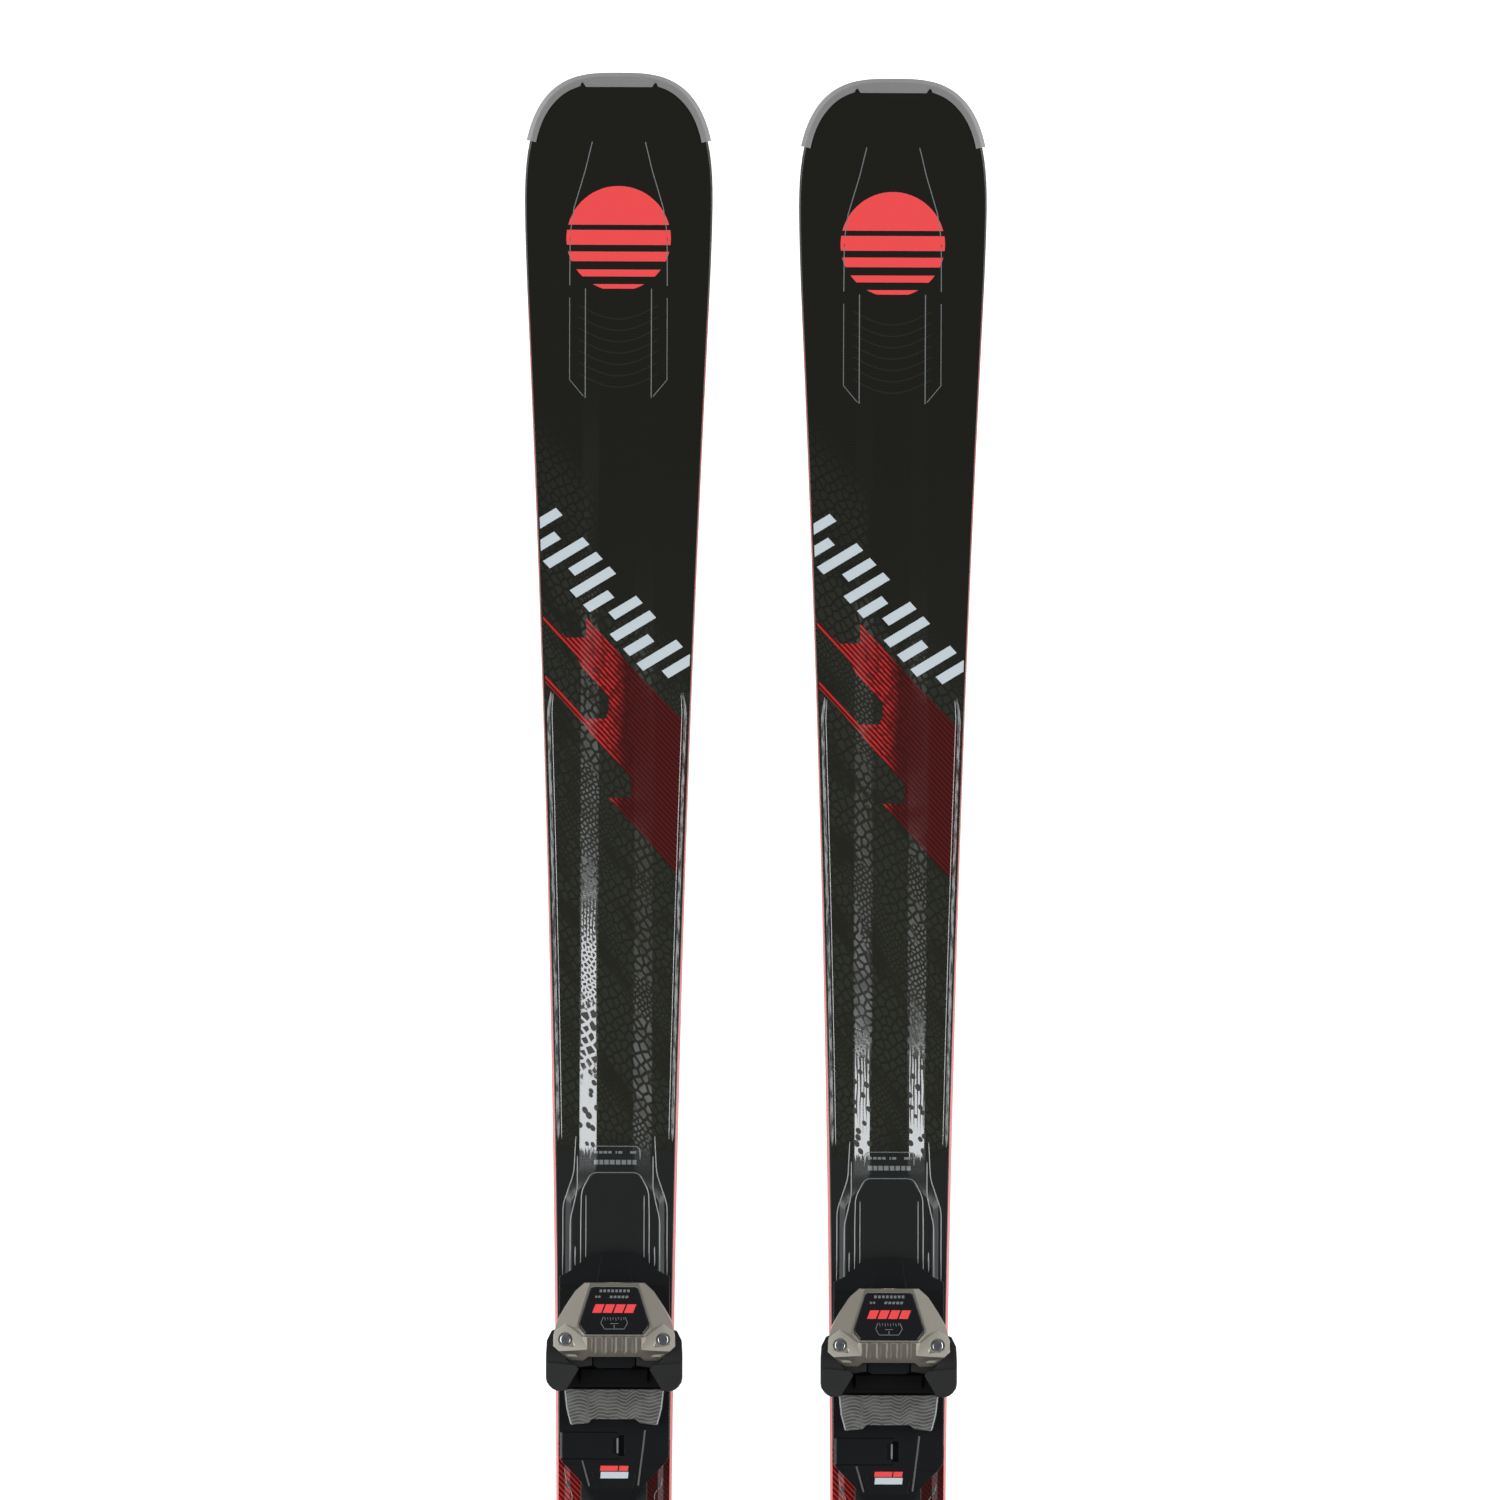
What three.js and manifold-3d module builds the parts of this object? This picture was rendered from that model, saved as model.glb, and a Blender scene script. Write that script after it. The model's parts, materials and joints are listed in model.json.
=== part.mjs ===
// A pair of alpine piste skis with track-mounted step-in bindings, lying side by side on level ground.
// With no boot in the bindings the brakes are down, so each ski rests on its shovel and on its two brake
// feet, pitched a few degrees nose down.
//
// Units are millimetres. Row frame: +Z up, +Y from tail to tip, +X to the right, origin on the ground under
// the middle of the pair. Each ski is drawn in its own ski frame first: x across, y = 0 at the boot-centre
// mark and growing towards the tip, z = 0 in the plane through the two contact points of the base.
import * as THREE from "three";
import { LoftGeometry } from "three/addons/geometries/LoftGeometry.js";
import { mergeVertices } from "three/addons/utils/BufferGeometryUtils.js";
import Module from "manifold-3d";

const wasm = await Module();
wasm.setup();

// ---- driving dimensions ---------------------------------------------------------------------------------

const SKI = {
  tipY: 1012, // end of the laminate at the tip; the guard adds its own wall
  tailY: -735,
  shovelY: 912, // widest place at the front
  shovelHalf: 62.4,
  waistY: -60,
  waistHalf: 38,
  heelWideY: -680, // widest place at the tail
  heelWideHalf: 52,
  contactFront: 700,
  contactRear: -640,
  camber: 4,
  tipRise: 58,
  tailRise: 12,
  spacing: 181, // between the two centre lines
  stagger: 3.3, // how far the left ski lies ahead of the right one
};
const GAP = 0.3; // clearance between solids that touch on the real ski
const BASE_T = 1.8; // running base with its glass laminate
const EDGE = 2.0; // steel edge, width and height
const SHEET_T = 1.0; // topsheet outside the ridge
const RIDGE = 2.5; // how far the centre ridge and the binding platform stand proud
const DECK_Z = 20; // top of the binding platform
const RAIL = { half: 22, top: 26, bottom: DECK_Z + GAP };
const BOOT = { toeY: 153, heelY: -153, soleZ: 44, toeLip: 63.5, heelLip: 75 };
const TOE = { pivotX: 32.2, pivotY: 179, axisZ: 51, pinR: 3 };
const HEEL = { pivotY: -232, pivotZ: 46, springZ: 65, leverY: -224, leverZ: 84, leverTilt: 40 };
const BRAKE = { pivotY: -92, pivotZ: 30, wireR: 2.5, armX: 47, footY: -145, footZ: -46, crankLength: 26 };
const RUN = 0.35; // running clearance of pins and slides

const material = (color, roughness, metalness = 0) =>
  new THREE.MeshStandardMaterial({ color, roughness, metalness });
const MATERIALS = {
  basePlastic: material(0x151517, 0.55),
  edgeSteel: material(0xb9bcc0, 0.3, 1),
  sidewall: material(0xe8503f, 0.45),
  topsheet: material(0x1c1c19, 0.3),
  guard: material(0x84858a, 0.4, 0.4),
  rail: material(0x2a2a2c, 0.5),
  blackPlastic: material(0x17181a, 0.5),
  bronze: material(0xa79c8c, 0.38, 0.6),
  glossBlack: material(0x0c0c0e, 0.12),
  wing: material(0x222426, 0.55),
  steel: material(0xc4c7ca, 0.25, 1),
  glidePlate: material(0x7c7c78, 0.5, 0.2),
  spring: material(0x8d9094, 0.35, 1),
};

// ---- helpers --------------------------------------------------------------------------------------------

// A geometry as a solid that can be cut and joined.
function solid(geometry) {
  const bare = new THREE.BufferGeometry();
  bare.setAttribute("position", geometry.getAttribute("position"));
  bare.setIndex(geometry.index);
  const merged = mergeVertices(bare, 1e-3);
  const vertProperties = merged.attributes.position.array;
  return new wasm.Manifold(
    new wasm.Mesh({ numProp: 3, vertProperties, triVerts: new Uint32Array(merged.index.array) }),
  );
}

// A solid back as a geometry.
function geometryOf(body) {
  const { vertProperties, triVerts } = body.getMesh();
  const geometry = new THREE.BufferGeometry();
  geometry.setAttribute("position", new THREE.BufferAttribute(vertProperties, 3));
  geometry.setIndex(new THREE.BufferAttribute(triVerts, 1));
  return geometry;
}

// An outline [[a, b], ...] pushed from low to high along the named axis: (x, y) for Z, (y, z) for X, (x, z) for Y.
function prism(axis, outline, low, high) {
  const turned = axis === "Y" ? outline.map(([x, z]) => [z, x]) : outline;
  const shape = new THREE.Shape(turned.map(([a, b]) => new THREE.Vector2(a, b)));
  const geometry = new THREE.ExtrudeGeometry(shape, { depth: high - low, bevelEnabled: false });
  geometry.translate(0, 0, low);
  const unit = { X: [1, 0, 0], Y: [0, 1, 0], Z: [0, 0, 1] };
  const order = { X: "YZX", Y: "ZXY", Z: "XYZ" }[axis];
  const basis = [...order].map((name) => new THREE.Vector3(...unit[name]));
  geometry.applyMatrix4(new THREE.Matrix4().makeBasis(...basis));
  return solid(geometry);
}

const box = (x, y, z) =>
  prism("Z", [[x[0], y[0]], [x[1], y[0]], [x[1], y[1]], [x[0], y[1]]], z[0], z[1]);

// The right half of an outline, listed from front to back, completed with its mirror image.
const bothSides = (half) => [...half, ...half.map(([x, y]) => [-x, y]).reverse()];

// A round bar between two points.
function rod(from, to, radius, sides = 14) {
  const a = new THREE.Vector3(...from);
  const along = new THREE.Vector3(...to).sub(a);
  const geometry = new THREE.CylinderGeometry(radius, radius, along.length(), sides);
  const turn = new THREE.Quaternion().setFromUnitVectors(
    new THREE.Vector3(0, 1, 0),
    along.clone().normalize(),
  );
  geometry.applyQuaternion(turn);
  geometry.translate(...a.addScaledVector(along, 0.5).toArray());
  return solid(geometry);
}

const cross = (axis, at, radius, low, high, sides = 14) =>
  axis === "X"
    ? rod([low, ...at], [high, ...at], radius, sides)
    : axis === "Y"
      ? rod([at[0], low, at[1]], [at[0], high, at[1]], radius, sides)
      : rod([...at, low], [...at, high], radius, sides);

// A wire of round section bent through points.
function wire(points, radius, sides = 7) {
  const bars = points.slice(1).map((p, i) => rod(points[i], p, radius, sides));
  const bends = points.slice(1, -1).map((p) => ball(p, radius, sides));
  return [...bars, ...bends].reduce((all, piece) => all.add(piece));
}

function ball(at, radius, sides) {
  const geometry = new THREE.SphereGeometry(radius * 1.04, sides, 4);
  geometry.translate(...at);
  return solid(geometry);
}

// A coil spring along Y.
function coil(x, z, radius, wireRadius, low, high, turns) {
  const STEPS = 7; // a turn
  const SIDES = 5;
  const count = turns * STEPS;
  const sections = [];
  for (let i = 0; i <= count; i++) {
    const angle = (i / STEPS) * Math.PI * 2;
    const y = THREE.MathUtils.lerp(low + wireRadius, high - wireRadius, i / count);
    const out = new THREE.Vector3(Math.cos(angle), 0, Math.sin(angle));
    const centre = out.clone().multiplyScalar(radius).add(new THREE.Vector3(x, y, z));
    sections.push(
      Array.from({ length: SIDES }, (_, j) => {
        const around = (j / SIDES) * Math.PI * 2;
        return centre
          .clone()
          .addScaledVector(out, Math.cos(around) * wireRadius)
          .add(new THREE.Vector3(0, Math.sin(around) * wireRadius, 0));
      }),
    );
  }
  return loft(sections);
}

// Sections skinned into a closed body, each put the right way round for its direction of travel.
function loft(sections, caps = true) {
  const sum = (ring, term) => ring.reduce((all, p, i) => all.add(term(p, i)), new THREE.Vector3());
  const first = sections[0];
  const facing = sum(first, (p, i) => p.clone().cross(first[(i + 1) % first.length]));
  const forward = sum(sections[1], (p) => p).sub(sum(first, (p) => p));
  const ordered = facing.dot(forward) > 0 ? sections : sections.map((ring) => [...ring].reverse());
  return solid(new LoftGeometry(ordered, { capStart: caps, capEnd: caps }));
}

// ---- shape of the ski -----------------------------------------------------------------------------------

const softMin = (a, b, round) => (a + b - Math.hypot(a - b, round)) / 2;
const arc = (y, wideY, wideHalf) =>
  SKI.waistHalf + (wideHalf - SKI.waistHalf) * ((y - SKI.waistY) / (wideY - SKI.waistY)) ** 2;
const superellipse = (t, power) => Math.max(0, 1 - Math.max(0, t) ** power) ** (1 / power);

// Half the width of the ski at y: a sidecut arc that rounds off into the tip or the tail.
function halfWidth(y) {
  const ROUND = 2;
  const front = y > SKI.waistY;
  const [wideY, wideHalf, endY, power] = front
    ? [SKI.shovelY, SKI.shovelHalf + 0.6, SKI.tipY, 3.1]
    : [SKI.heelWideY, SKI.heelWideHalf + 0.6, SKI.tailY, 3.4];
  const cap = wideHalf * superellipse((y - wideY) / (endY - wideY), power);
  return softMin(arc(y, wideY, wideHalf), cap, Math.min(ROUND, cap * 0.1));
}

// Height of the running surface at y.
function baseZ(y) {
  const { contactFront, contactRear, tipY, tailY } = SKI;
  if (y > contactFront)
    return SKI.tipRise * ((y - contactFront) / (tipY - contactFront)) ** 2.2;
  if (y < contactRear) return SKI.tailRise * ((contactRear - y) / (contactRear - tailY)) ** 2;
  const u = (2 * y - contactFront - contactRear) / (contactFront - contactRear);
  return SKI.camber * (1 - u * u) ** 2;
}

const smooth = (x, from, to) =>
  from < to ? THREE.MathUtils.smoothstep(x, from, to) : 1 - THREE.MathUtils.smoothstep(x, to, from);

// Thickness outside the ridge, height of the ridge, and the x of its top edge and of its foot.
const PLATFORM = { front: 268, rear: -330, blend: 24 };
const thickness = (y) => 5.6 + 7.9 * smooth(y, 880, 260) * smooth(y, -700, -330);
const ridge = (y) => RIDGE * smooth(y, 880, 760) * smooth(y, -690, -600);
const platform = (y) =>
  smooth(y, PLATFORM.front + PLATFORM.blend, PLATFORM.front) *
  smooth(y, PLATFORM.rear - PLATFORM.blend, PLATFORM.rear);
const ridgeTop = (y) => THREE.MathUtils.lerp(12, 29, platform(y));
const ridgeFoot = (y) => THREE.MathUtils.lerp(24, 32.5, platform(y));

// Places along the ski where its sections are taken, from tail to tip.
const degrees = (a) => Math.sin(THREE.MathUtils.degToRad(a));
const STATIONS = [
  ...[84, 70, 52, 30].map((a) => SKI.heelWideY + (SKI.tailY - SKI.heelWideY) * degrees(a)),
  ...[-680, -630, -560, -470, -354, -330, -180, -30, 120, 268, 292, 400, 500, 600, 700, 780, 850, 912],
  ...[17, 34, 47, 58, 68, 77, 85].map((a) => SKI.shovelY + (SKI.tipY - SKI.shovelY) * degrees(a)),
];
const CENTRE_Y = (SKI.tipY + SKI.tailY) / 2;
const HALF_LENGTH = (SKI.tipY - SKI.tailY) / 2;

// A layer of the ski: section(y, half) gives its [x, z] corners, and inset draws its outline in from the edge.
function layer(inset, section) {
  const shrink = (HALF_LENGTH - inset) / HALF_LENGTH;
  const sections = STATIONS.map((station) => {
    const y = CENTRE_Y + (station - CENTRE_Y) * shrink;
    const half = halfWidth(station) - inset;
    return section(y, half).map(([x, z]) => new THREE.Vector3(x, y, z));
  });
  return loft(sections);
}

const slab = (bottomHalf, topHalf, low, high) => [
  [-bottomHalf, low],
  [bottomHalf, low],
  [topHalf, high],
  [-topHalf, high],
];

const runningBase = () =>
  layer(EDGE + GAP, (y, half) => slab(half, half, baseZ(y), baseZ(y) + BASE_T));

const core = () =>
  layer(0.2, (y, half) =>
    slab(half, half - 1.4, baseZ(y) + EDGE + GAP, baseZ(y) + thickness(y) - SHEET_T - GAP),
  );

function topsheet() {
  return layer(1.9, (y, half) => {
    const low = baseZ(y) + thickness(y) - SHEET_T;
    const flat = low + SHEET_T;
    const top = flat + ridge(y);
    const edge = half - 0.4;
    const foot = Math.min(ridgeFoot(y), edge - 0.6);
    const crest = Math.min(ridgeTop(y), foot - 0.6);
    return [[-half, low], [half, low], [edge, flat], [foot, flat], [crest, top], [-crest, top], [-foot, flat], [-edge, flat]];
  });
}

// The steel edge runs all the way round as one closed ring.
function steelEdge() {
  const shrink = (HALF_LENGTH - EDGE) / HALF_LENGTH;
  const corner = (side, station) => {
    const inner = CENTRE_Y + (station - CENTRE_Y) * shrink;
    const half = halfWidth(station);
    return [
      new THREE.Vector3(side * half, station, baseZ(station)),
      new THREE.Vector3(side * half, station, baseZ(station) + EDGE),
      new THREE.Vector3(side * (half - EDGE), inner, baseZ(inner) + EDGE),
      new THREE.Vector3(side * (half - EDGE), inner, baseZ(inner)),
    ];
  };
  const ring = [
    ...STATIONS.map((y) => corner(1, y)),
    ...STATIONS.map((y) => corner(-1, y)).reverse(),
  ];
  return loft([...ring, ring[0]], false);
}

// A guard that wraps the end of the ski: a wall outside the outline and a flange on the topsheet.
function endGuard(places, flange) {
  const WALL = 1.8;
  const edge = places.map(([x, y]) => new THREE.Vector2(x, y));
  const sections = edge.map((p, i) => {
    const before = edge[Math.max(0, i - 1)];
    const after = edge[Math.min(edge.length - 1, i + 1)];
    const run = after.clone().sub(before).normalize();
    const out = new THREE.Vector2(run.y, -run.x);
    const at = (offset, height) => {
      const q = p.clone().addScaledVector(out, offset);
      return new THREE.Vector3(q.x, q.y, baseZ(q.y) + height);
    };
    const deck = thickness(p.y) + ridge(p.y) + GAP;
    return [
      at(GAP + WALL, 0.4),
      at(GAP + WALL, deck + 0.2),
      at(GAP, deck + 1.6),
      at(-flange, deck + 1.6),
      at(-flange, deck + 0.1),
      at(GAP, deck + 0.1),
      at(GAP, 0.4),
    ];
  });
  return loft(sections);
}

// The outline from one side of an end round to the other, counter-clockwise from above, as [x, y].
function roundEnd(ys, firstSide) {
  const onSide = (side) => ys.map((y) => [side * halfWidth(y), y]);
  return [...onSide(firstSide), ...onSide(-firstSide).reverse()];
}

const tipGuard = () => endGuard(roundEnd(STATIONS.filter((y) => y > 967), 1), 6.5);

const tailGuard = () =>
  endGuard(roundEnd(STATIONS.filter((y) => y < -707).reverse(), -1), 7);

// ---- binding: tracks ------------------------------------------------------------------------------------

// A flat rail with rack notches along its middle.
function track(low, high, notchLow, notchHigh) {
  const { half, bottom, top } = RAIL;
  const NOTCH = { pitch: 12, width: 5, half: 8, depth: 2 };
  let rail = box([-half, half], [low, high], [bottom, top]);
  for (let y = notchLow; y <= notchHigh; y += NOTCH.pitch)
    rail = rail.subtract(
      box([-NOTCH.half, NOTCH.half], [y, y + NOTCH.width], [top - NOTCH.depth, top + 1]),
    );
  return rail;
}

const railChannel = (low, high) =>
  box([-RAIL.half - RUN, RAIL.half + RUN], [low, high], [0, RAIL.top + RUN]);

// ---- binding: toe ---------------------------------------------------------------------------------------

const TOE_FLOOR = 34; // top of the toe base

function toeBase() {
  const plan = bothSides([
    [14.8, 235.2],
    [20, 232],
    [25.2, 225.6],
    [31, 222.5],
    [36.3, 219.8],
    [36.3, 101],
    [34, 97],
    [21.5, 84],
    [16, 75],
    [12, 70],
  ]);
  const side = [
    [237, RAIL.bottom + RUN],
    [237, 27.8],
    [226, 31.4],
    [217.5, TOE_FLOOR],
    [80, TOE_FLOOR],
    [68, 27.5],
    [68, RAIL.bottom + RUN],
  ];
  let body = prism("Z", plan, 0, 60).intersect(prism("X", side, -60, 60));
  for (const x of [-TOE.pivotX, TOE.pivotX])
    body = body.add(cross("Z", [x, TOE.pivotY], 5.6, TOE_FLOOR - 1, 46));
  // the step in front of the glide plate, and the wall between the two wings
  body = body.add(box([-31, 31], [146.8, 168.4], [TOE_FLOOR - 1, 42.4]));
  body = body.add(box([-13.8, 13.8], [159.8, 168.4], [42, 58]));
  body = body.subtract(railChannel(60, 240));
  // the recess that the latch lies in, and the finger slot at its free end
  body = body.subtract(box([-40, 3.4], [99.2, 117.2], [29.9, 40]));
  body = body.subtract(box([3, 7], [101.5, 115], [29, 40]));
  for (const x of [-TOE.pivotX, TOE.pivotX])
    body = body.subtract(cross("Z", [x, TOE.pivotY], TOE.pinR + RUN, 28, 60));
  return body;
}

function toeHousing() {
  const plan = bothSides([
    [19.6, 216],
    [26, 210.2],
    [32.7, 200],
    [37.7, 191],
    [40, 182],
    [40.2, 174.5],
    [30.5, 165.6],
    [26, 163.8],
    [21.3, 164],
    [17, 167.4],
  ]);
  const side = [
    [216, TOE_FLOOR + GAP],
    [218, 48],
    [214, 62],
    [183, 79],
    [176, 79],
    [167, 70],
    [163, 63.6],
    [163, 60.2],
    [189, 60.2],
    [189, TOE_FLOOR + GAP],
  ];
  const face = bothSides([
    [22, 81],
    [30, 74],
    [43, 66],
    [43, 52],
    [30, 34],
  ]);
  let body = prism("Z", plan, 0, 90)
    .intersect(prism("X", side, -60, 60))
    .intersect(prism("Y", face, 150, 230));
  body = body.subtract(cross("Y", [0, TOE.axisZ], 9.4, 180, 211));
  body = body.subtract(cross("Y", [0, TOE.axisZ], 5.4, 200, 225));
  for (const x of [-TOE.pivotX, TOE.pivotX]) {
    body = body.subtract(cross("Z", [x, TOE.pivotY], TOE.pinR + RUN, 50, 90));
    body = body.subtract(cross("Z", [x, TOE.pivotY], 4.6, 67.2, 90));
  }
  return body;
}

// The gloss insert that carries the release scale, laid on the sloping top of the housing.
function toeWindow() {
  const slope = Math.atan2(79 - 62, 214 - 183);
  const plan = bothSides([
    [14.5, 34.4],
    [23, 7],
    [18.5, 1.2],
  ]);
  return prism("Z", plan, GAP, 1.8).transform(placed([0, 183, 79], -slope));
}

// The column-major matrix of a turn about X followed by a move.
function placed(at, turn) {
  return new THREE.Matrix4().makeRotationX(turn).setPosition(...at).toArray();
}

// One of the two arms that hold the boot's toe, for the right side, or mirrored for the left.
function toeWing(side) {
  const LOW = 46.4;
  const arm = [
    [25, 186.5],
    [33, 188],
    [41.5, 184.4],
    [44.6, 178],
    [45, 170],
    [45, 160],
    [26, 160],
    [14.6, 161.5],
    [14.6, 170],
    [24, 173],
  ];
  const ear = [
    [45, 162],
    [45, 152],
    [42.5, 147.8],
    [38, 144.9],
    [34.5, 144.6],
    [28.5, 157.5],
    [28.5, 161.5],
  ];
  const lip = [
    [44, 161.8],
    [44, 152.4],
    [41.8, 148.4],
    [37.6, 145.7],
    [31.9, 145],
    [23.4, 159],
    [25.5, 161.8],
  ];
  const flip = (outline) => (side > 0 ? outline : outline.map(([x, y]) => [-x, y]).reverse());
  return prism("Z", flip(arm), LOW, 59.8)
    .add(prism("Z", flip(ear), LOW, BOOT.toeLip + 1))
    .add(prism("Z", flip(lip), BOOT.toeLip, 67.5))
    .subtract(cross("Z", [side * TOE.pivotX, TOE.pivotY], TOE.pinR + RUN, 40, 70));
}

// The pivot screw of a wing, standing in the toe base, with its head in the housing.
function pivotScrew(side) {
  const at = [side * TOE.pivotX, TOE.pivotY];
  const recess = [0, Math.PI / 2].map((turn) =>
    box([-2.6, 2.6], [-0.55, 0.55], [0, 3])
      .transform(new THREE.Matrix4().makeRotationZ(turn).setPosition(...at, 69.4).toArray()),
  );
  return cross("Z", at, TOE.pinR, 29, 68)
    .add(cross("Z", at, 4.2, 67.6, 70.8))
    .subtract(recess[0])
    .subtract(recess[1]);
}

// The glide plate under the boot's toe, which moves sideways in the toe base.
function glidePlate() {
  const plan = bothSides([
    [32.8, 145.6],
    [31.4, 132.7],
    [28.4, 121.9],
    [17, 123.2],
    [14.3, 125.8],
  ]);
  const face = bothSides([
    [26, BOOT.soleZ],
    [34, BOOT.soleZ - 1.6],
    [34, TOE_FLOOR + GAP],
  ]);
  return prism("Z", plan, 0, 90).intersect(prism("Y", face, 100, 180));
}

// The flap that locks the toe to its track, hinged at its outer end.
function toeLatch() {
  const LATCH = { hingeX: -33.8, hingeZ: 32.2, thick: 1.75 };
  const { hingeX, hingeZ, thick } = LATCH;
  return box([hingeX, 3], [99.6, 116.8], [hingeZ - thick, hingeZ + thick])
    .add(cross("Y", [hingeX, hingeZ], thick, 99.6, 116.8, 12))
    .subtract(box([-1, 4], [103, 113.4], [hingeZ + 0.6, hingeZ + 3]));
}

// The release spring's pull link: a crossbar behind the wings and a rod through the spring.
const toeLink = () =>
  box([-12, 12], [172, 180], [46.5, 56]).add(cross("Y", [0, TOE.axisZ], 3, 179, 203, 10));

const toeSpring = () => coil(0, TOE.axisZ, 6.6, 1.5, 181, 203.4, 4);

// The release screw at the front of the toe, with a driver slot.
const toeScrew = () =>
  cross("Y", [0, TOE.axisZ], 5, 203.8, 215.2).subtract(
    box([-3.6, 3.6], [213.7, 218], [TOE.axisZ - 0.8, TOE.axisZ + 0.8]),
  );

// ---- binding: heel --------------------------------------------------------------------------------------

function heelBase() {
  const CHEEK = { inner: 28, outer: 34 };
  const deck = prism(
    "Z",
    bothSides([
      [24, -101],
      [34, -108],
      [34, -262],
      [22, -286],
    ]),
    RAIL.bottom + RUN,
    31,
  );
  let body = deck.add(box([-30, 30], [-145.5, -116], [30, BOOT.soleZ])); // the boot's heel stands here
  const cheek = [
    [-196, 30],
    [-214, 57],
    [-248, 57],
    [-254, 30],
  ];
  const lug = [
    [-101.5, 36],
    [-86, 36],
    [-86, 24],
    [-101.5, RAIL.bottom + RUN],
    [-109, RAIL.bottom + RUN],
    [-109, 30],
  ];
  for (const side of [-1, 1]) {
    const span = [CHEEK.inner, CHEEK.outer].map((x) => side * x).sort((a, b) => a - b);
    body = body.add(prism("X", cheek, ...span)).add(prism("X", lug, ...span));
  }
  body = body.subtract(railChannel(-300, -80));
  body = body.subtract(cross("X", [HEEL.pivotY, HEEL.pivotZ], 3 + RUN, -50, 50));
  body = body.subtract(cross("X", [BRAKE.pivotY, BRAKE.pivotZ], BRAKE.wireR + RUN, -50, 50, 12));
  body = body.subtract(box([-15.4, 15.4], [-290, -266], [27.9, 40])); // the recess of the heel latch
  return body;
}

function heelHousing() {
  const side = [
    [-144, BOOT.heelLip + 0.5],
    [-144, 80],
    [-158, 91],
    [-196, 99],
    [-222, 95],
    [-248, 78],
    [-251, 60],
    [-243, 40],
    [-232, 34],
    [-172, 34],
    [-166, 45.5],
    [-147, 45.5],
    [-147, 48.5],
    [-161, 52],
    [-161, 73],
  ];
  const face = bothSides([
    [14, 100],
    [22, 92],
    [27, 80],
    [27, 30],
  ]);
  let body = prism("X", side, -60, 60).intersect(prism("Y", face, -260, -140));
  // slim at the back, where the lever's arms straddle it
  for (const s of [-1, 1])
    body = body.subtract(box([s > 0 ? 18.4 : -60, s > 0 ? 60 : -18.4], [-260, -204], [71, 120]));
  // round cup for the boot's heel
  body = body.subtract(cross("Z", [0, -129], 33.5, 51.5, 74, 28));
  body = body.subtract(cross("Y", [0, HEEL.springZ], 10.4, -260, -176, 16));
  body = body.subtract(cross("X", [HEEL.pivotY, HEEL.pivotZ], 3 + RUN, -50, 50));
  body = body.subtract(cross("X", [HEEL.leverY, HEEL.leverZ], 3 + RUN, -50, 50));
  return body;
}

// The opening lever: two arms on stub pins in the housing, and a paddle with a cup for a pole tip.
function heelLever() {
  const tilt = THREE.MathUtils.degToRad(HEEL.leverTilt);
  // drawn lying back along -y from its pivot, then tilted up
  const arms = [
    [5.5, -5],
    [6, 4],
    [-2, 8.5],
    [-30, 9],
    [-34, -2],
    [-8, -6],
  ];
  const paddle = [
    [-24, 9],
    [-28, -4.5],
    [-46, -6],
    [-62, 0],
    [-64, 4],
    [-60, 8],
  ];
  let body = prism("X", paddle, -25, 25);
  for (const side of [-1, 1]) {
    const span = [18.9, 25].map((x) => side * x).sort((a, b) => a - b);
    body = body.add(prism("X", arms, ...span));
    const pin = [15, 19.5].map((x) => side * x).sort((a, b) => a - b);
    body = body.add(cross("X", [0, 0], 3, ...pin, 12));
  }
  body = body.subtract(cross("Z", [0, -46], 11, 2.5, 20, 20));
  return body.transform(placed([0, HEEL.leverY, HEEL.leverZ], -tilt));
}

const heelAxle = () => cross("X", [HEEL.pivotY, HEEL.pivotZ], 3, -35.5, 35.5);

const heelSpring = () => coil(0, HEEL.springZ, 8, 1.8, -241, -178, 7);

const heelScrew = () =>
  cross("Y", [0, HEEL.springZ], 9.4, -252.5, -242).subtract(
    box([-6.5, 6.5], [-256, -250.5], [HEEL.springZ - 1, HEEL.springZ + 1]),
  );

// The flap at the back of the heel base that locks the heel to its track.
const heelLatch = () =>
  box([-15, 15], [-292, -268.2], [28.2, 31.2]).add(cross("X", [-268.6, 29.7], 1.5, -15, 15, 12));

// ---- binding: brake -------------------------------------------------------------------------------------

const CRANK_ANGLE = THREE.MathUtils.degToRad(80); // of the pedal's crank above level, brake down
const CRANK_END = [
  BRAKE.pivotY + BRAKE.crankLength * Math.cos(CRANK_ANGLE),
  BRAKE.pivotZ + BRAKE.crankLength * Math.sin(CRANK_ANGLE),
];

// A bent wire with a plastic foot: crank pin, crank, axle, arm.
function brakeArm(side) {
  const { pivotY, pivotZ, armX, footY, footZ, wireR } = BRAKE;
  const down = new THREE.Vector2(footY - pivotY, footZ - pivotZ).normalize();
  const along = (d) => [pivotY + down.x * d, pivotZ + down.y * d];
  const wireEnd = 58;
  const bend = wire(
    [
      [side * 14, ...CRANK_END],
      [side * 24.6, ...CRANK_END],
      [side * 24.6, pivotY, pivotZ],
      [side * armX, pivotY, pivotZ],
      [side * armX, ...along(wireEnd)],
    ],
    wireR,
  );
  const reach = Math.hypot(footY - pivotY, footZ - pivotZ);
  // the foot, drawn pointing along -y from the pivot and then turned down to the arm's angle
  const outline = [
    [-42, 4],
    [-reach + 16, 5],
    [-reach, 1],
    [-reach + 3, -4.5],
    [-48, -4.5],
  ];
  const span = [armX - 4.5, armX + 5.5].map((x) => side * x).sort((a, b) => a - b);
  const angle = Math.atan2(-down.y, -down.x);
  return bend.add(prism("X", outline, ...span).transform(placed([0, pivotY, pivotZ], angle)));
}

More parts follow.
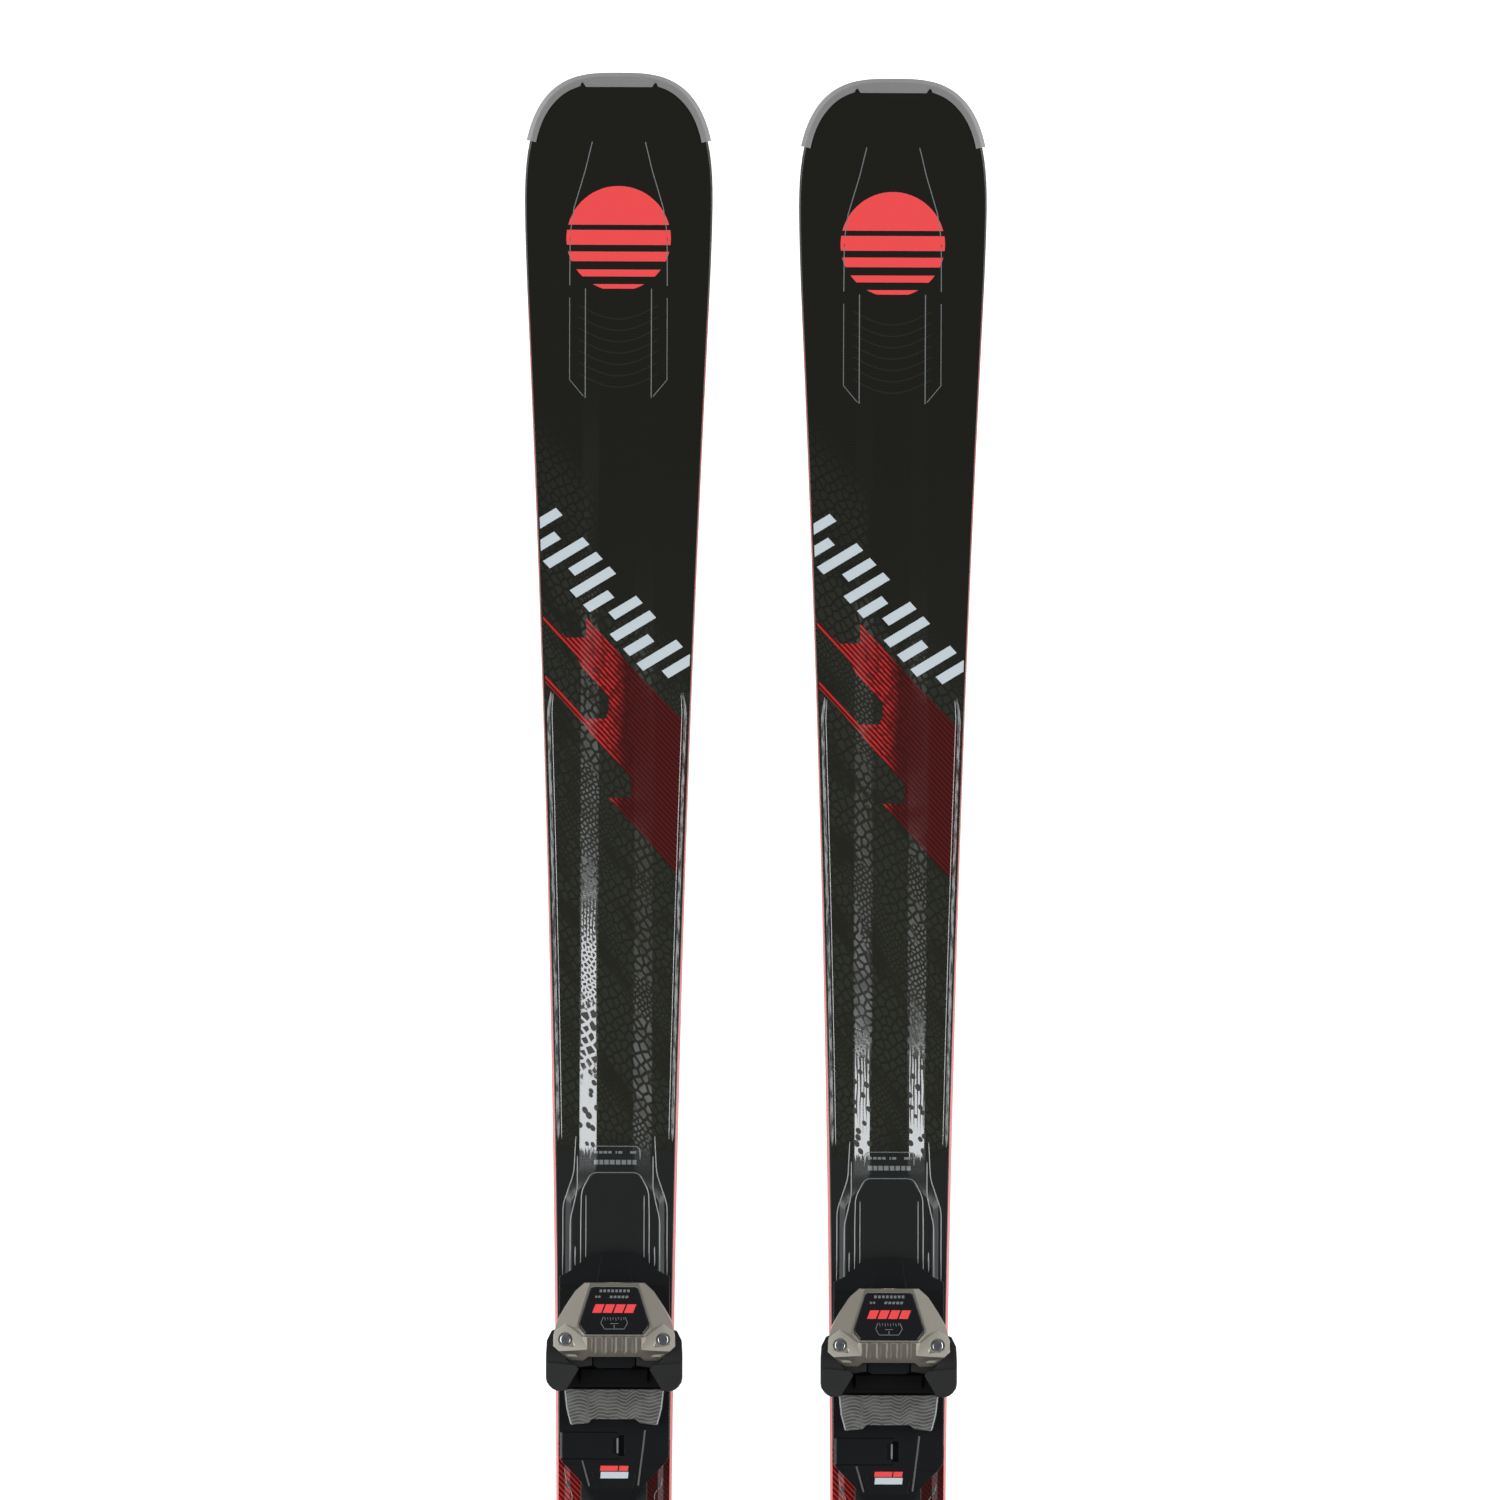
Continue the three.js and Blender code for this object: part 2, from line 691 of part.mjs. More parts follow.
// The pedal that the boot's heel treads down, hinged on the two crank pins.
function brakePedal() {
  const PEDAL_TILT = THREE.MathUtils.degToRad(25);
  const plate = [
    [-19, 1.4],
    [-18, 4],
    [16, 4],
    [20, 0.5],
    [18, -1.5],
    [-14, -1.5],
  ];
  const lug = [
    [-5, 0],
    [-4, -4],
    [4, -4],
    [5, 0],
  ];
  let body = prism("X", plate, -22, 22).add(prism("X", lug, -22, -15)).add(prism("X", lug, 15, 22));
  body = body.subtract(cross("X", [0, 0], BRAKE.wireR + RUN, -30, -13.4, 10));
  body = body.subtract(cross("X", [0, 0], BRAKE.wireR + RUN, 13.4, 30, 10));
  return body.transform(placed([0, ...CRANK_END], PEDAL_TILT));
}

// ---- assembly -------------------------------------------------------------------------------------------

// One ski with its binding: [name, solid, material] for each piece.
const M = MATERIALS;
const PIECES = [
  ["running_base", runningBase(), M.basePlastic],
  ["steel_edge", steelEdge(), M.edgeSteel],
  ["core_sidewalls", core(), M.sidewall],
  ["topsheet", topsheet(), M.topsheet],
  ["tip_guard", tipGuard(), M.guard],
  ["tail_guard", tailGuard(), M.guard],
  ["front_track", track(30, 214, 34, 60), M.rail],
  ["rear_track", track(-306, -66, -80, -70), M.rail],
  ["toe_base", toeBase(), M.blackPlastic],
  ["toe_housing", toeHousing(), M.bronze],
  ["toe_window", toeWindow(), M.glossBlack],
  ["toe_wing_l", toeWing(-1), M.wing],
  ["toe_wing_r", toeWing(1), M.wing],
  ["wing_screw_l", pivotScrew(-1), M.steel],
  ["wing_screw_r", pivotScrew(1), M.steel],
  ["glide_plate", glidePlate(), M.glidePlate],
  ["toe_latch", toeLatch(), M.blackPlastic],
  ["toe_link", toeLink(), M.steel],
  ["toe_spring", toeSpring(), M.spring],
  ["toe_release_screw", toeScrew(), M.steel],
  ["heel_base", heelBase(), M.blackPlastic],
  ["heel_housing", heelHousing(), M.bronze],
  ["heel_lever", heelLever(), M.blackPlastic],
  ["heel_axle", heelAxle(), M.steel],
  ["heel_spring", heelSpring(), M.spring],
  ["heel_release_screw", heelScrew(), M.steel],
  ["heel_latch", heelLatch(), M.blackPlastic],
  ["brake_pedal", brakePedal(), M.blackPlastic],
  ["brake_arm_l", brakeArm(-1), M.steel],
  ["brake_arm_r", brakeArm(1), M.steel],
];

// The pitch at which the line from the brake feet just touches the shovel from below.
const FOOT = [BRAKE.footY, BRAKE.footZ];
const shovelLine = Array.from({ length: 300 }, (_, i) => SKI.contactFront + i);
const PITCH = Math.min(...shovelLine.map((y) => Math.atan2(baseZ(y) - FOOT[1], y - FOOT[0])));

function ski(name, side) {
  const group = new THREE.Group();
  group.name = name;
  group.rotation.x = -PITCH;
  for (const [piece, body, look] of PIECES) {
    const mesh = new THREE.Mesh(geometryOf(body), look);
    mesh.name = `${name}_${piece}`;
    group.add(mesh);
  }
  group.position.x = (side * SKI.spacing) / 2;
  group.updateMatrixWorld(true);
  const bounds = new THREE.Box3().setFromObject(group, true);
  group.position.y = -(bounds.min.y + bounds.max.y + side * SKI.stagger) / 2;
  group.position.z = -bounds.min.z;
  return group;
}

const pair = new THREE.Group();
pair.add(ski("left", -1), ski("right", 1));

export default pair;
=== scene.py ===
"""The looks of a pair of alpine skis with track bindings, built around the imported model.

Each ski is drawn once, in its own ski frame in millimetres: x across, y = 0 at the boot centre and growing
towards the tip, z = 0 in the plane of the base's two contact points. place() puts a copy on both skis.
"""

import json
import math

import bpy
import bmesh
from mathutils import Matrix, Vector


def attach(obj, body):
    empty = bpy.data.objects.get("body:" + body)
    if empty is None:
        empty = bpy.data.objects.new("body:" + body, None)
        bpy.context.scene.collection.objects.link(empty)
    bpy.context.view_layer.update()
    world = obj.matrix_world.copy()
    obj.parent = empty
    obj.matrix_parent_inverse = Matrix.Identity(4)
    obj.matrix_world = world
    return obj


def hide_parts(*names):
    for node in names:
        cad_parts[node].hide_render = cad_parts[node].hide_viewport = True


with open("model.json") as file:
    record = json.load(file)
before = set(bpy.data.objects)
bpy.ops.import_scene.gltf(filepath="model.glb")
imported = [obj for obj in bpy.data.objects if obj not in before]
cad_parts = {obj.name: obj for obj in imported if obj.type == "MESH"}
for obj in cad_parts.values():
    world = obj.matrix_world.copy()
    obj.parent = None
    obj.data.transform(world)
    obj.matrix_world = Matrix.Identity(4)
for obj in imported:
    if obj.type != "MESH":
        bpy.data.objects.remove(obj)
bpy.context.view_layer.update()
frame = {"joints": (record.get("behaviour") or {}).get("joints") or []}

MM = 0.001
SIDES = ("left", "right")
BOTH = (-1, 1)  # the left and right half of one ski
SCENE = bpy.context.scene

# ---- where the two skis are ------------------------------------------------------------------------------

JOINTS = {j["name"]: j for j in frame["joints"]}
CUP_Y, CUP_Z = -232.0, 46.0  # the heel cup's axle in the ski frame


def ski_matrix(side):
    """The ski frame of one ski in the row frame, in metres."""
    along = Vector(JOINTS[side + "_toe_adjust"]["axis"]).normalized()
    across = Vector((1, 0, 0))
    turn = Matrix((across, along, across.cross(along))).transposed()
    origin = Vector(JOINTS[side + "_heel_release"]["pos_m"]) - turn @ (Vector((0, CUP_Y, CUP_Z)) * MM)
    return Matrix.Translation(origin) @ turn.to_4x4()


SKI = {side: ski_matrix(side) for side in SIDES}

# ---- shape of the ski ------------------------------------------------------------------------------------

TIP_Y, TAIL_Y = 1012.0, -735.0
SHOVEL_Y, SHOVEL_HALF = 912.0, 62.4
WAIST_Y, WAIST_HALF = -60.0, 38.0
HEEL_Y, HEEL_HALF = -680.0, 52.0
CONTACT_FRONT, CONTACT_REAR = 700.0, -640.0
CAMBER, TIP_RISE, TAIL_RISE = 4.0, 58.0, 12.0
BASE_T, EDGE, SHEET_T, GAP = 1.8, 2.0, 1.0, 0.3
RIDGE = 2.5
PLATFORM_FRONT, PLATFORM_REAR, PLATFORM_BLEND = 268.0, -330.0, 24.0


def clamp01(t):
    return min(1.0, max(0.0, t))


def smooth(x, start, end):
    """0 at start, 1 at end, whichever is larger."""
    t = clamp01((x - start) / (end - start))
    return t * t * (3 - 2 * t)


def lerp(a, b, t):
    return a + (b - a) * t


def sidecut(y, wide_y, wide_half):
    return WAIST_HALF + (wide_half - WAIST_HALF) * ((y - WAIST_Y) / (wide_y - WAIST_Y)) ** 2


def half_width(y):
    front = y > WAIST_Y
    wide_y, wide_half, end_y, power = (
        (SHOVEL_Y, SHOVEL_HALF + 0.6, TIP_Y, 3.1) if front else (HEEL_Y, HEEL_HALF + 0.6, TAIL_Y, 3.4)
    )
    t = max(0.0, (y - wide_y) / (end_y - wide_y))
    cap = wide_half * max(0.0, 1 - t**power) ** (1 / power)
    arc = sidecut(y, wide_y, wide_half)
    return (arc + cap - math.hypot(arc - cap, min(2.0, cap * 0.1))) / 2


def base_z(y):
    if y > CONTACT_FRONT:
        return TIP_RISE * ((y - CONTACT_FRONT) / (TIP_Y - CONTACT_FRONT)) ** 2.2
    if y < CONTACT_REAR:
        return TAIL_RISE * ((CONTACT_REAR - y) / (CONTACT_REAR - TAIL_Y)) ** 2
    u = (2 * y - CONTACT_FRONT - CONTACT_REAR) / (CONTACT_FRONT - CONTACT_REAR)
    return CAMBER * (1 - u * u) ** 2


def thickness(y):
    return 5.6 + 7.9 * smooth(y, 880, 260) * smooth(y, -700, -330)


def ridge(y):
    front = lerp(0.5 * smooth(y, 880, 760), 1.0, smooth(y, 730, 610))
    return RIDGE * front * smooth(y, -690, -600)


def platform(y):
    return smooth(y, PLATFORM_FRONT + PLATFORM_BLEND, PLATFORM_FRONT) * smooth(
        y, PLATFORM_REAR - PLATFORM_BLEND, PLATFORM_REAR
    )


def ridge_top(y):
    return lerp(12, 29, platform(y))


def ridge_foot(y):
    return lerp(24, 32.5, platform(y))


def deck_z(x, y):
    """Height of the topsheet at a point."""
    flat = base_z(y) + thickness(y)
    t = clamp01((ridge_foot(y) - abs(x)) / (ridge_foot(y) - ridge_top(y)))
    return flat + ridge(y) * t


def stations(inset, fine=9.0):
    """Places along the ski, closer together where the ends round off, drawn in by inset."""
    centre, half_length = (TIP_Y + TAIL_Y) / 2, (TIP_Y - TAIL_Y) / 2
    ys = []
    count = int((SHOVEL_Y - HEEL_Y) / fine)
    ys += [lerp(HEEL_Y, SHOVEL_Y, i / count) for i in range(count + 1)]
    for i in range(1, 19):
        turn = math.sin(math.radians(min(89.2, i * 5.0)))
        ys.append(SHOVEL_Y + (TIP_Y - SHOVEL_Y) * turn)
        ys.append(HEEL_Y + (TAIL_Y - HEEL_Y) * turn)
    shrink = (half_length - inset) / half_length
    return [(centre + (y - centre) * shrink, max(0.5, half_width(y) - inset)) for y in sorted(ys)]


# ---- mesh helpers ----------------------------------------------------------------------------------------


def mesh_of(vertices, faces):
    """A mesh in metres from vertices in millimetres."""
    mesh = bpy.data.meshes.new("m")
    mesh.from_pydata([tuple(c * MM for c in v) for v in vertices], [], faces)
    mesh.update()
    return mesh


def loft(sections, ring=False):
    """Sections of points skinned in order, with flat ends, or joined end to end as a ring."""
    n, rows = len(sections[0]), len(sections)
    vertices = [p for section in sections for p in section]
    faces = []
    for i in range(rows if ring else rows - 1):
        a, b = i * n, (i + 1) % rows * n
        faces += [(a + j, a + (j + 1) % n, b + (j + 1) % n, b + j) for j in range(n)]
    if not ring:
        faces += [tuple(range(n))[::-1], tuple(range((rows - 1) * n, rows * n))]
    mesh = mesh_of(vertices, faces)
    outward(mesh)
    return mesh


def outward(mesh):
    """Doubled vertices merged and all faces turned outwards."""
    bm = bmesh.new()
    bm.from_mesh(mesh)
    bmesh.ops.remove_doubles(bm, verts=bm.verts, dist=1e-7)
    bmesh.ops.recalc_face_normals(bm, faces=bm.faces)
    bm.to_mesh(mesh)
    bm.free()


def mirrored(half):
    """The right half of an outline, front to back, completed with its mirror image."""
    return list(half) + [(-x, y) for x, y in reversed(half)]


def prism(axis, outline, low, high):
    """An outline pushed along an axis from low to high, or from high to low.

    The outline is (x, y) along Z, (y, z) along X and (x, z) along Y."""
    put = {
        "Z": lambda a, b, h: (a, b, h),
        "X": lambda a, b, h: (h, a, b),
        "Y": lambda a, b, h: (a, h, b),
    }[axis]
    return loft([[put(a, b, h) for a, b in outline] for h in sorted((low, high))])


def box(x, y, z):
    """A block between two places along each axis."""
    (x0, x1), (y0, y1) = sorted(x), sorted(y)
    return prism("Z", [(x0, y0), (x1, y0), (x1, y1), (x0, y1)], *z)


def flipped(outline, side):
    """An outline drawn on the right, or where side is -1 its mirror image on the left."""
    return [(side * x, y) for x, y in outline]


def cross_hole(y, z, radius, sides=28):
    """A cutter for a hole right across the ski."""
    return rod((-50, y, z), (50, y, z), radius, sides)


def around(centre, u, v, sides):
    """Points round an ellipse whose half axes are u and v."""
    angles = [2 * math.pi * k / sides for k in range(sides)]
    return [tuple(centre + u * math.cos(t) + v * math.sin(t)) for t in angles]


def heading(path, i):
    """The direction of a path of vectors at its point i."""
    return (path[min(i + 1, len(path) - 1)] - path[max(i - 1, 0)]).normalized()


def rod(start, end, radius, sides=32, end_radius=None):
    """A cylinder, or a cone where end_radius differs."""
    a, b = Vector(start), Vector(end)
    along = (b - a).normalized()
    u = along.orthogonal().normalized()
    v = along.cross(u)
    far = radius if end_radius is None else end_radius
    return loft([around(p, u * r, v * r, sides) for p, r in ((a, radius), (b, far))])


def tube(points, radius, sides=8, flatten=1.0):
    """A bar of round section along points. Its radius may be a rule of the share of the way."""
    path = [Vector(p) for p in points]
    sections = []
    for i, p in enumerate(path):
        along = heading(path, i)
        side = along.cross(Vector((0, 0, 1)))
        side = side.normalized() if side.length > 1e-3 else Vector((1, 0, 0))
        up = side.cross(along)
        r = radius(i / (len(path) - 1)) if callable(radius) else radius
        sections.append(around(p, side * r, up * (r * flatten), sides))
    return loft(sections)


def sweep(points, radius, sides):
    """A round wire along a path that may bend any way, without twist."""
    path = [Vector(p) for p in points]
    path = [p for i, p in enumerate(path) if i == 0 or (p - path[i - 1]).length > 1e-4]
    u = (path[1] - path[0]).orthogonal().normalized()
    sections = []
    for i, p in enumerate(path):
        along = heading(path, i)
        u = (u - along * u.dot(along)).normalized()
        sections.append(around(p, u * radius, along.cross(u) * radius, sides))
    return loft(sections)


def rounded_path(points, radius, steps=6):
    """A line through points with its corners rounded."""
    pts = [Vector(p) for p in points]
    out = [pts[0]]
    for before, corner, after in zip(pts, pts[1:], pts[2:]):
        r = min(radius, (corner - before).length * 0.45, (after - corner).length * 0.45)
        a = corner + (before - corner).normalized() * r
        b = corner + (after - corner).normalized() * r
        for k in range(steps + 1):
            t = k / steps
            out.append(a.lerp(corner, t).lerp(corner.lerp(b, t), t))
    return out + [pts[-1]]


def joined(*meshes):
    """Several meshes as one, each keeping its own material slots."""
    bm = bmesh.new()
    for mesh in meshes:
        bm.from_mesh(mesh)
    out = bpy.data.meshes.new("m")
    bm.to_mesh(out)
    bm.free()
    return out


def with_modifiers(mesh, *setups):
    """The mesh after modifiers, each given as (type, {settings})."""
    obj = bpy.data.objects.new("work", mesh)
    SCENE.collection.objects.link(obj)
    for kind, settings in setups:
        modifier = obj.modifiers.new(kind.lower(), kind)
        for key, value in settings.items():
            setattr(modifier, key, value)
    bpy.context.view_layer.update()
    done = bpy.data.meshes.new_from_object(obj.evaluated_get(bpy.context.evaluated_depsgraph_get()))
    bpy.data.objects.remove(obj)
    return done


def boolean(mesh, others, operation):
    for other in others:
        cutter = bpy.data.objects.new("cutter", other)
        SCENE.collection.objects.link(cutter)
        settings = {"operation": operation, "object": cutter, "solver": "EXACT"}
        mesh = with_modifiers(mesh, ("BOOLEAN", settings))
        bpy.data.objects.remove(cutter)
    return mesh


def cut(mesh, *others):
    return boolean(mesh, others, "DIFFERENCE")


def common(mesh, *others):
    return boolean(mesh, others, "INTERSECT")


def union(mesh, *others):
    return boolean(mesh, others, "UNION")


def bevel(mesh, width, segments=3, angle=28):
    settings = {
        "width": width * MM,
        "segments": segments,
        "limit_method": "ANGLE",
        "angle_limit": math.radians(angle),
        "use_clamp_overlap": True,
        "miter_outer": "MITER_ARC",
    }
    return with_modifiers(mesh, ("BEVEL", settings))


def shear(mesh, rule):
    """Each vertex moved by rule(x, y, z), in millimetres."""
    for v in mesh.vertices:
        v.co = Vector(rule(*(v.co / MM))) * MM
    outward(mesh)
    return mesh


def turned(mesh, at, degrees, axis="X"):
    mesh.transform(Matrix.Translation(Vector(at) * MM) @ Matrix.Rotation(math.radians(degrees), 4, axis))
    return mesh


SMOOTH_BELOW = 32  # degrees between faces that still shade as one


def shade(mesh, angle):
    """Smooth below an angle, with each normal weighted towards the larger faces so that flats stay flat."""
    mesh.shade_smooth()
    mesh.set_sharp_from_angle(angle=math.radians(angle))
    return with_modifiers(mesh, ("WEIGHTED_NORMAL", {"keep_sharp": True, "weight": 50}))


def place(name, mesh, body, look, node=None, smooth_angle=SMOOTH_BELOW):
    """One copy of a mesh on each ski, riding on a body of that ski and standing in for one CAD node.

    The mesh is turned to the row frame and only moved by its object, which keeps its bounding box tight."""
    mesh = shade(mesh, smooth_angle)
    for side in SIDES:
        data = mesh.copy()
        data.transform(SKI[side].to_3x3().to_4x4())
        data.name = f"{side}_{name}"
        data.materials.append(MAT[side + "_topsheet" if look == "topsheet" else look])
        obj = bpy.data.objects.new(f"{side}_{name}", data)
        SCENE.collection.objects.link(obj)
        obj.matrix_world = Matrix.Translation(SKI[side].translation)
        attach(obj, f"{side}_{body}")
        if node:
            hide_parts(f"{side}_{node}")


# ---- materials -------------------------------------------------------------------------------------------


class Nodes:
    """A small builder of node materials."""

    def __init__(self, name):
        self.material = bpy.data.materials.new(name)
        self.material.use_nodes = True
        self.tree = self.material.node_tree
        self.shader = self.tree.nodes["Principled BSDF"]
        level = self.tree.nodes.new("ShaderNodeTexCoord").outputs["Object"]
        to_ski = self.tree.nodes.new("ShaderNodeMapping")
        to_ski.inputs["Rotation"].default_value = SKI["left"].to_3x3().inverted().to_euler()
        self.link(level, to_ski.inputs["Vector"])
        self.coords = to_ski.outputs[0]

    def link(self, value, socket):
        if isinstance(value, bpy.types.NodeSocket):
            self.tree.links.new(value, socket)
        else:
            socket.default_value = value

    def link_color(self, color, socket):
        self.link(color if isinstance(color, bpy.types.NodeSocket) else (*color, 1.0), socket)

    def math(self, operation, a, b=0.0):
        node = self.tree.nodes.new("ShaderNodeMath")
        node.operation = operation
        self.link(a, node.inputs[0])
        self.link(b, node.inputs[1])
        return node.outputs[0]

    def add(self, a, b):
        return self.math("ADD", a, b)

    def sub(self, a, b):
        return self.math("SUBTRACT", a, b)

    def mul(self, a, b):
        return self.math("MULTIPLY", a, b)

    def both(self, *masks):
        out = masks[0]
        for m in masks[1:]:
            out = self.mul(out, m)
        return out

    def step(self, value, low, high):
        """0 below low and 1 above high, or the other way round where high is less than low."""
        node = self.tree.nodes.new("ShaderNodeMapRange")
        node.interpolation_type = "SMOOTHSTEP"
        node.clamp = True
        self.link(value, node.inputs["Value"])
        flip = high < low
        node.inputs["From Min"].default_value = min(low, high)
        node.inputs["From Max"].default_value = max(low, high)
        node.inputs["To Min"].default_value = 1.0 if flip else 0.0
        node.inputs["To Max"].default_value = 0.0 if flip else 1.0
        return node.outputs["Result"]

    def facing_up(self):
        """1 on level faces, 0 on walls."""
        split = self.tree.nodes.new("ShaderNodeSeparateXYZ")
        self.link(self.tree.nodes.new("ShaderNodeTexCoord").outputs["Normal"], split.inputs[0])
        return split.outputs[2]

    def xyz(self):
        """The ski frame's x, y and z in millimetres."""
        split = self.tree.nodes.new("ShaderNodeSeparateXYZ")
        self.link(self.coords, split.inputs[0])
        return [self.mul(split.outputs[i], 1 / MM) for i in range(3)]

    def vector(self, x, y, z=0.0):
        node = self.tree.nodes.new("ShaderNodeCombineXYZ")
        for value, socket in zip((x, y, z), node.inputs):
            self.link(value, socket)
        return node.outputs[0]

    def scaled(self, scale):
        node = self.tree.nodes.new("ShaderNodeMapping")
        self.link(self.coords, node.inputs["Vector"])
        node.inputs["Scale"].default_value = scale
        return node.outputs[0]

    def noise(self, scale, detail=3.0, rough=0.55, vector=None):
        node = self.tree.nodes.new("ShaderNodeTexNoise")
        self.link(self.coords if vector is None else vector, node.inputs["Vector"])
        node.inputs["Scale"].default_value = scale
        node.inputs["Detail"].default_value = detail
        node.inputs["Roughness"].default_value = rough
        return node.outputs["Fac"]

    def cells(self, vector, feature="DISTANCE_TO_EDGE", randomness=1.0):
        node = self.tree.nodes.new("ShaderNodeTexVoronoi")
        node.voronoi_dimensions = "2D"
        node.feature = feature
        self.link(vector, node.inputs["Vector"])
        node.inputs["Scale"].default_value = 1.0
        node.inputs["Randomness"].default_value = randomness
        return node.outputs["Distance"]

    def mix(self, fac, a, b):
        node = self.tree.nodes.new("ShaderNodeMix")
        node.data_type = "RGBA"
        self.link(fac, node.inputs[0])
        self.link_color(a, node.inputs[6])
        self.link_color(b, node.inputs[7])
        return node.outputs[2]

    def blend(self, fac, a, b):
        node = self.tree.nodes.new("ShaderNodeMix")
        node.data_type = "FLOAT"
        self.link(fac, node.inputs[0])
        self.link(a, node.inputs[2])
        self.link(b, node.inputs[3])
        return node.outputs[0]

    def bump(self, height, strength, distance_mm, under=None):
        node = self.tree.nodes.new("ShaderNodeBump")
        node.inputs["Strength"].default_value = strength
        node.inputs["Distance"].default_value = distance_mm * MM
        self.link(height, node.inputs["Height"])
        if under is not None:
            self.link(under, node.inputs["Normal"])
        return node.outputs["Normal"]

    def finish(self, color, rough, normal=None, metallic=0.0, specular=0.5, coat=0.0, coat_rough=0.05):
        s = self.shader.inputs
        self.link_color(color, s["Base Color"])
        self.link(rough, s["Roughness"])
        self.link(metallic, s["Metallic"])
        s["Specular IOR Level"].default_value = specular
        s["Coat Weight"].default_value = coat
        s["Coat Roughness"].default_value = coat_rough
        if normal is not None:
            self.link(normal, s["Normal"])
        return self.material


def moulded(name, color, rough=0.42, grain=1.0, specular=0.5, wear_and_sheen=(0.05, 0.05, 0.05)):
    """Injection-moulded plastic: a fine spark-eroded grain, slight mottling and handled patches."""
    n = Nodes(name)
    cloud = n.noise(38, 4)
    fine = n.noise(2600, 2, 0.7)
    scuffs = n.step(n.noise(160, 5, 0.7, n.scaled((1.0, 0.25, 1.0))), 0.62, 0.8)
    tone = n.mix(n.mul(cloud, 0.5), color, tuple(c * 1.35 + 0.002 for c in color))
    tone = n.mix(n.mul(scuffs, 0.35), tone, tuple(c + w for c, w in zip(color, wear_and_sheen)))
    rough = n.add(n.mul(cloud, 0.12), rough - 0.06)
    return n.finish(tone, rough, n.bump(fine, 0.25 * grain, 0.05), specular=specular)


def metal(name, color, rough=0.25, direction=(1, 40, 1)):
    """Turned or drawn metal with fine lines along one direction."""
    n = Nodes(name)
    lines = n.noise(220, 3, 0.6, n.scaled(direction))
    cloud = n.noise(30, 3)
    tone = n.mix(n.mul(lines, 0.6), tuple(c * 0.78 for c in color), color)
    rough = n.add(n.mul(lines, 0.14), n.add(n.mul(cloud, 0.1), rough - 0.1))
    return n.finish(tone, rough, n.bump(lines, 0.15, 0.03), metallic=1.0)


def bronze_paint():
    """Champagne metallic lacquer: tiny flakes under a thin clear coat, with painted shade making the flanks
    darker than the level faces.
    """
    n = Nodes("champagne_lacquer")
    flakes = n.noise(5200, 1, 0.5)
    cloud = n.noise(60, 3)
    tone = n.mix(flakes, (0.50, 0.465, 0.40), (0.78, 0.735, 0.65))
    tone = n.mix(n.mul(cloud, 0.2), tone, (0.42, 0.385, 0.325))
    # painted shade: walls and flanks are darker than level faces, as if lit from above
    tone = n.mix(n.step(n.facing_up(), 0.99, 0.8), tone, (0.27, 0.248, 0.21))
    rough = n.add(n.mul(flakes, 0.08), 0.36)
    return n.finish(tone, rough, n.bump(flakes, 0.08, 0.03), metallic=0.72, coat=0.25, coat_rough=0.2)


PIN_PITCH, WEFT_PITCH = 1.32, 1.9  # of the deck's pinstripes and of the threads across them
SLOPE_IN, SLOPE_OUT = 11.4, 24.2  # how far from the middle the ridge's slopes reach
GLOSS_REAR = 300.0  # the slopes' gloss ends here, before the binding
PRINT_REAR = 318.0  # and the scales here


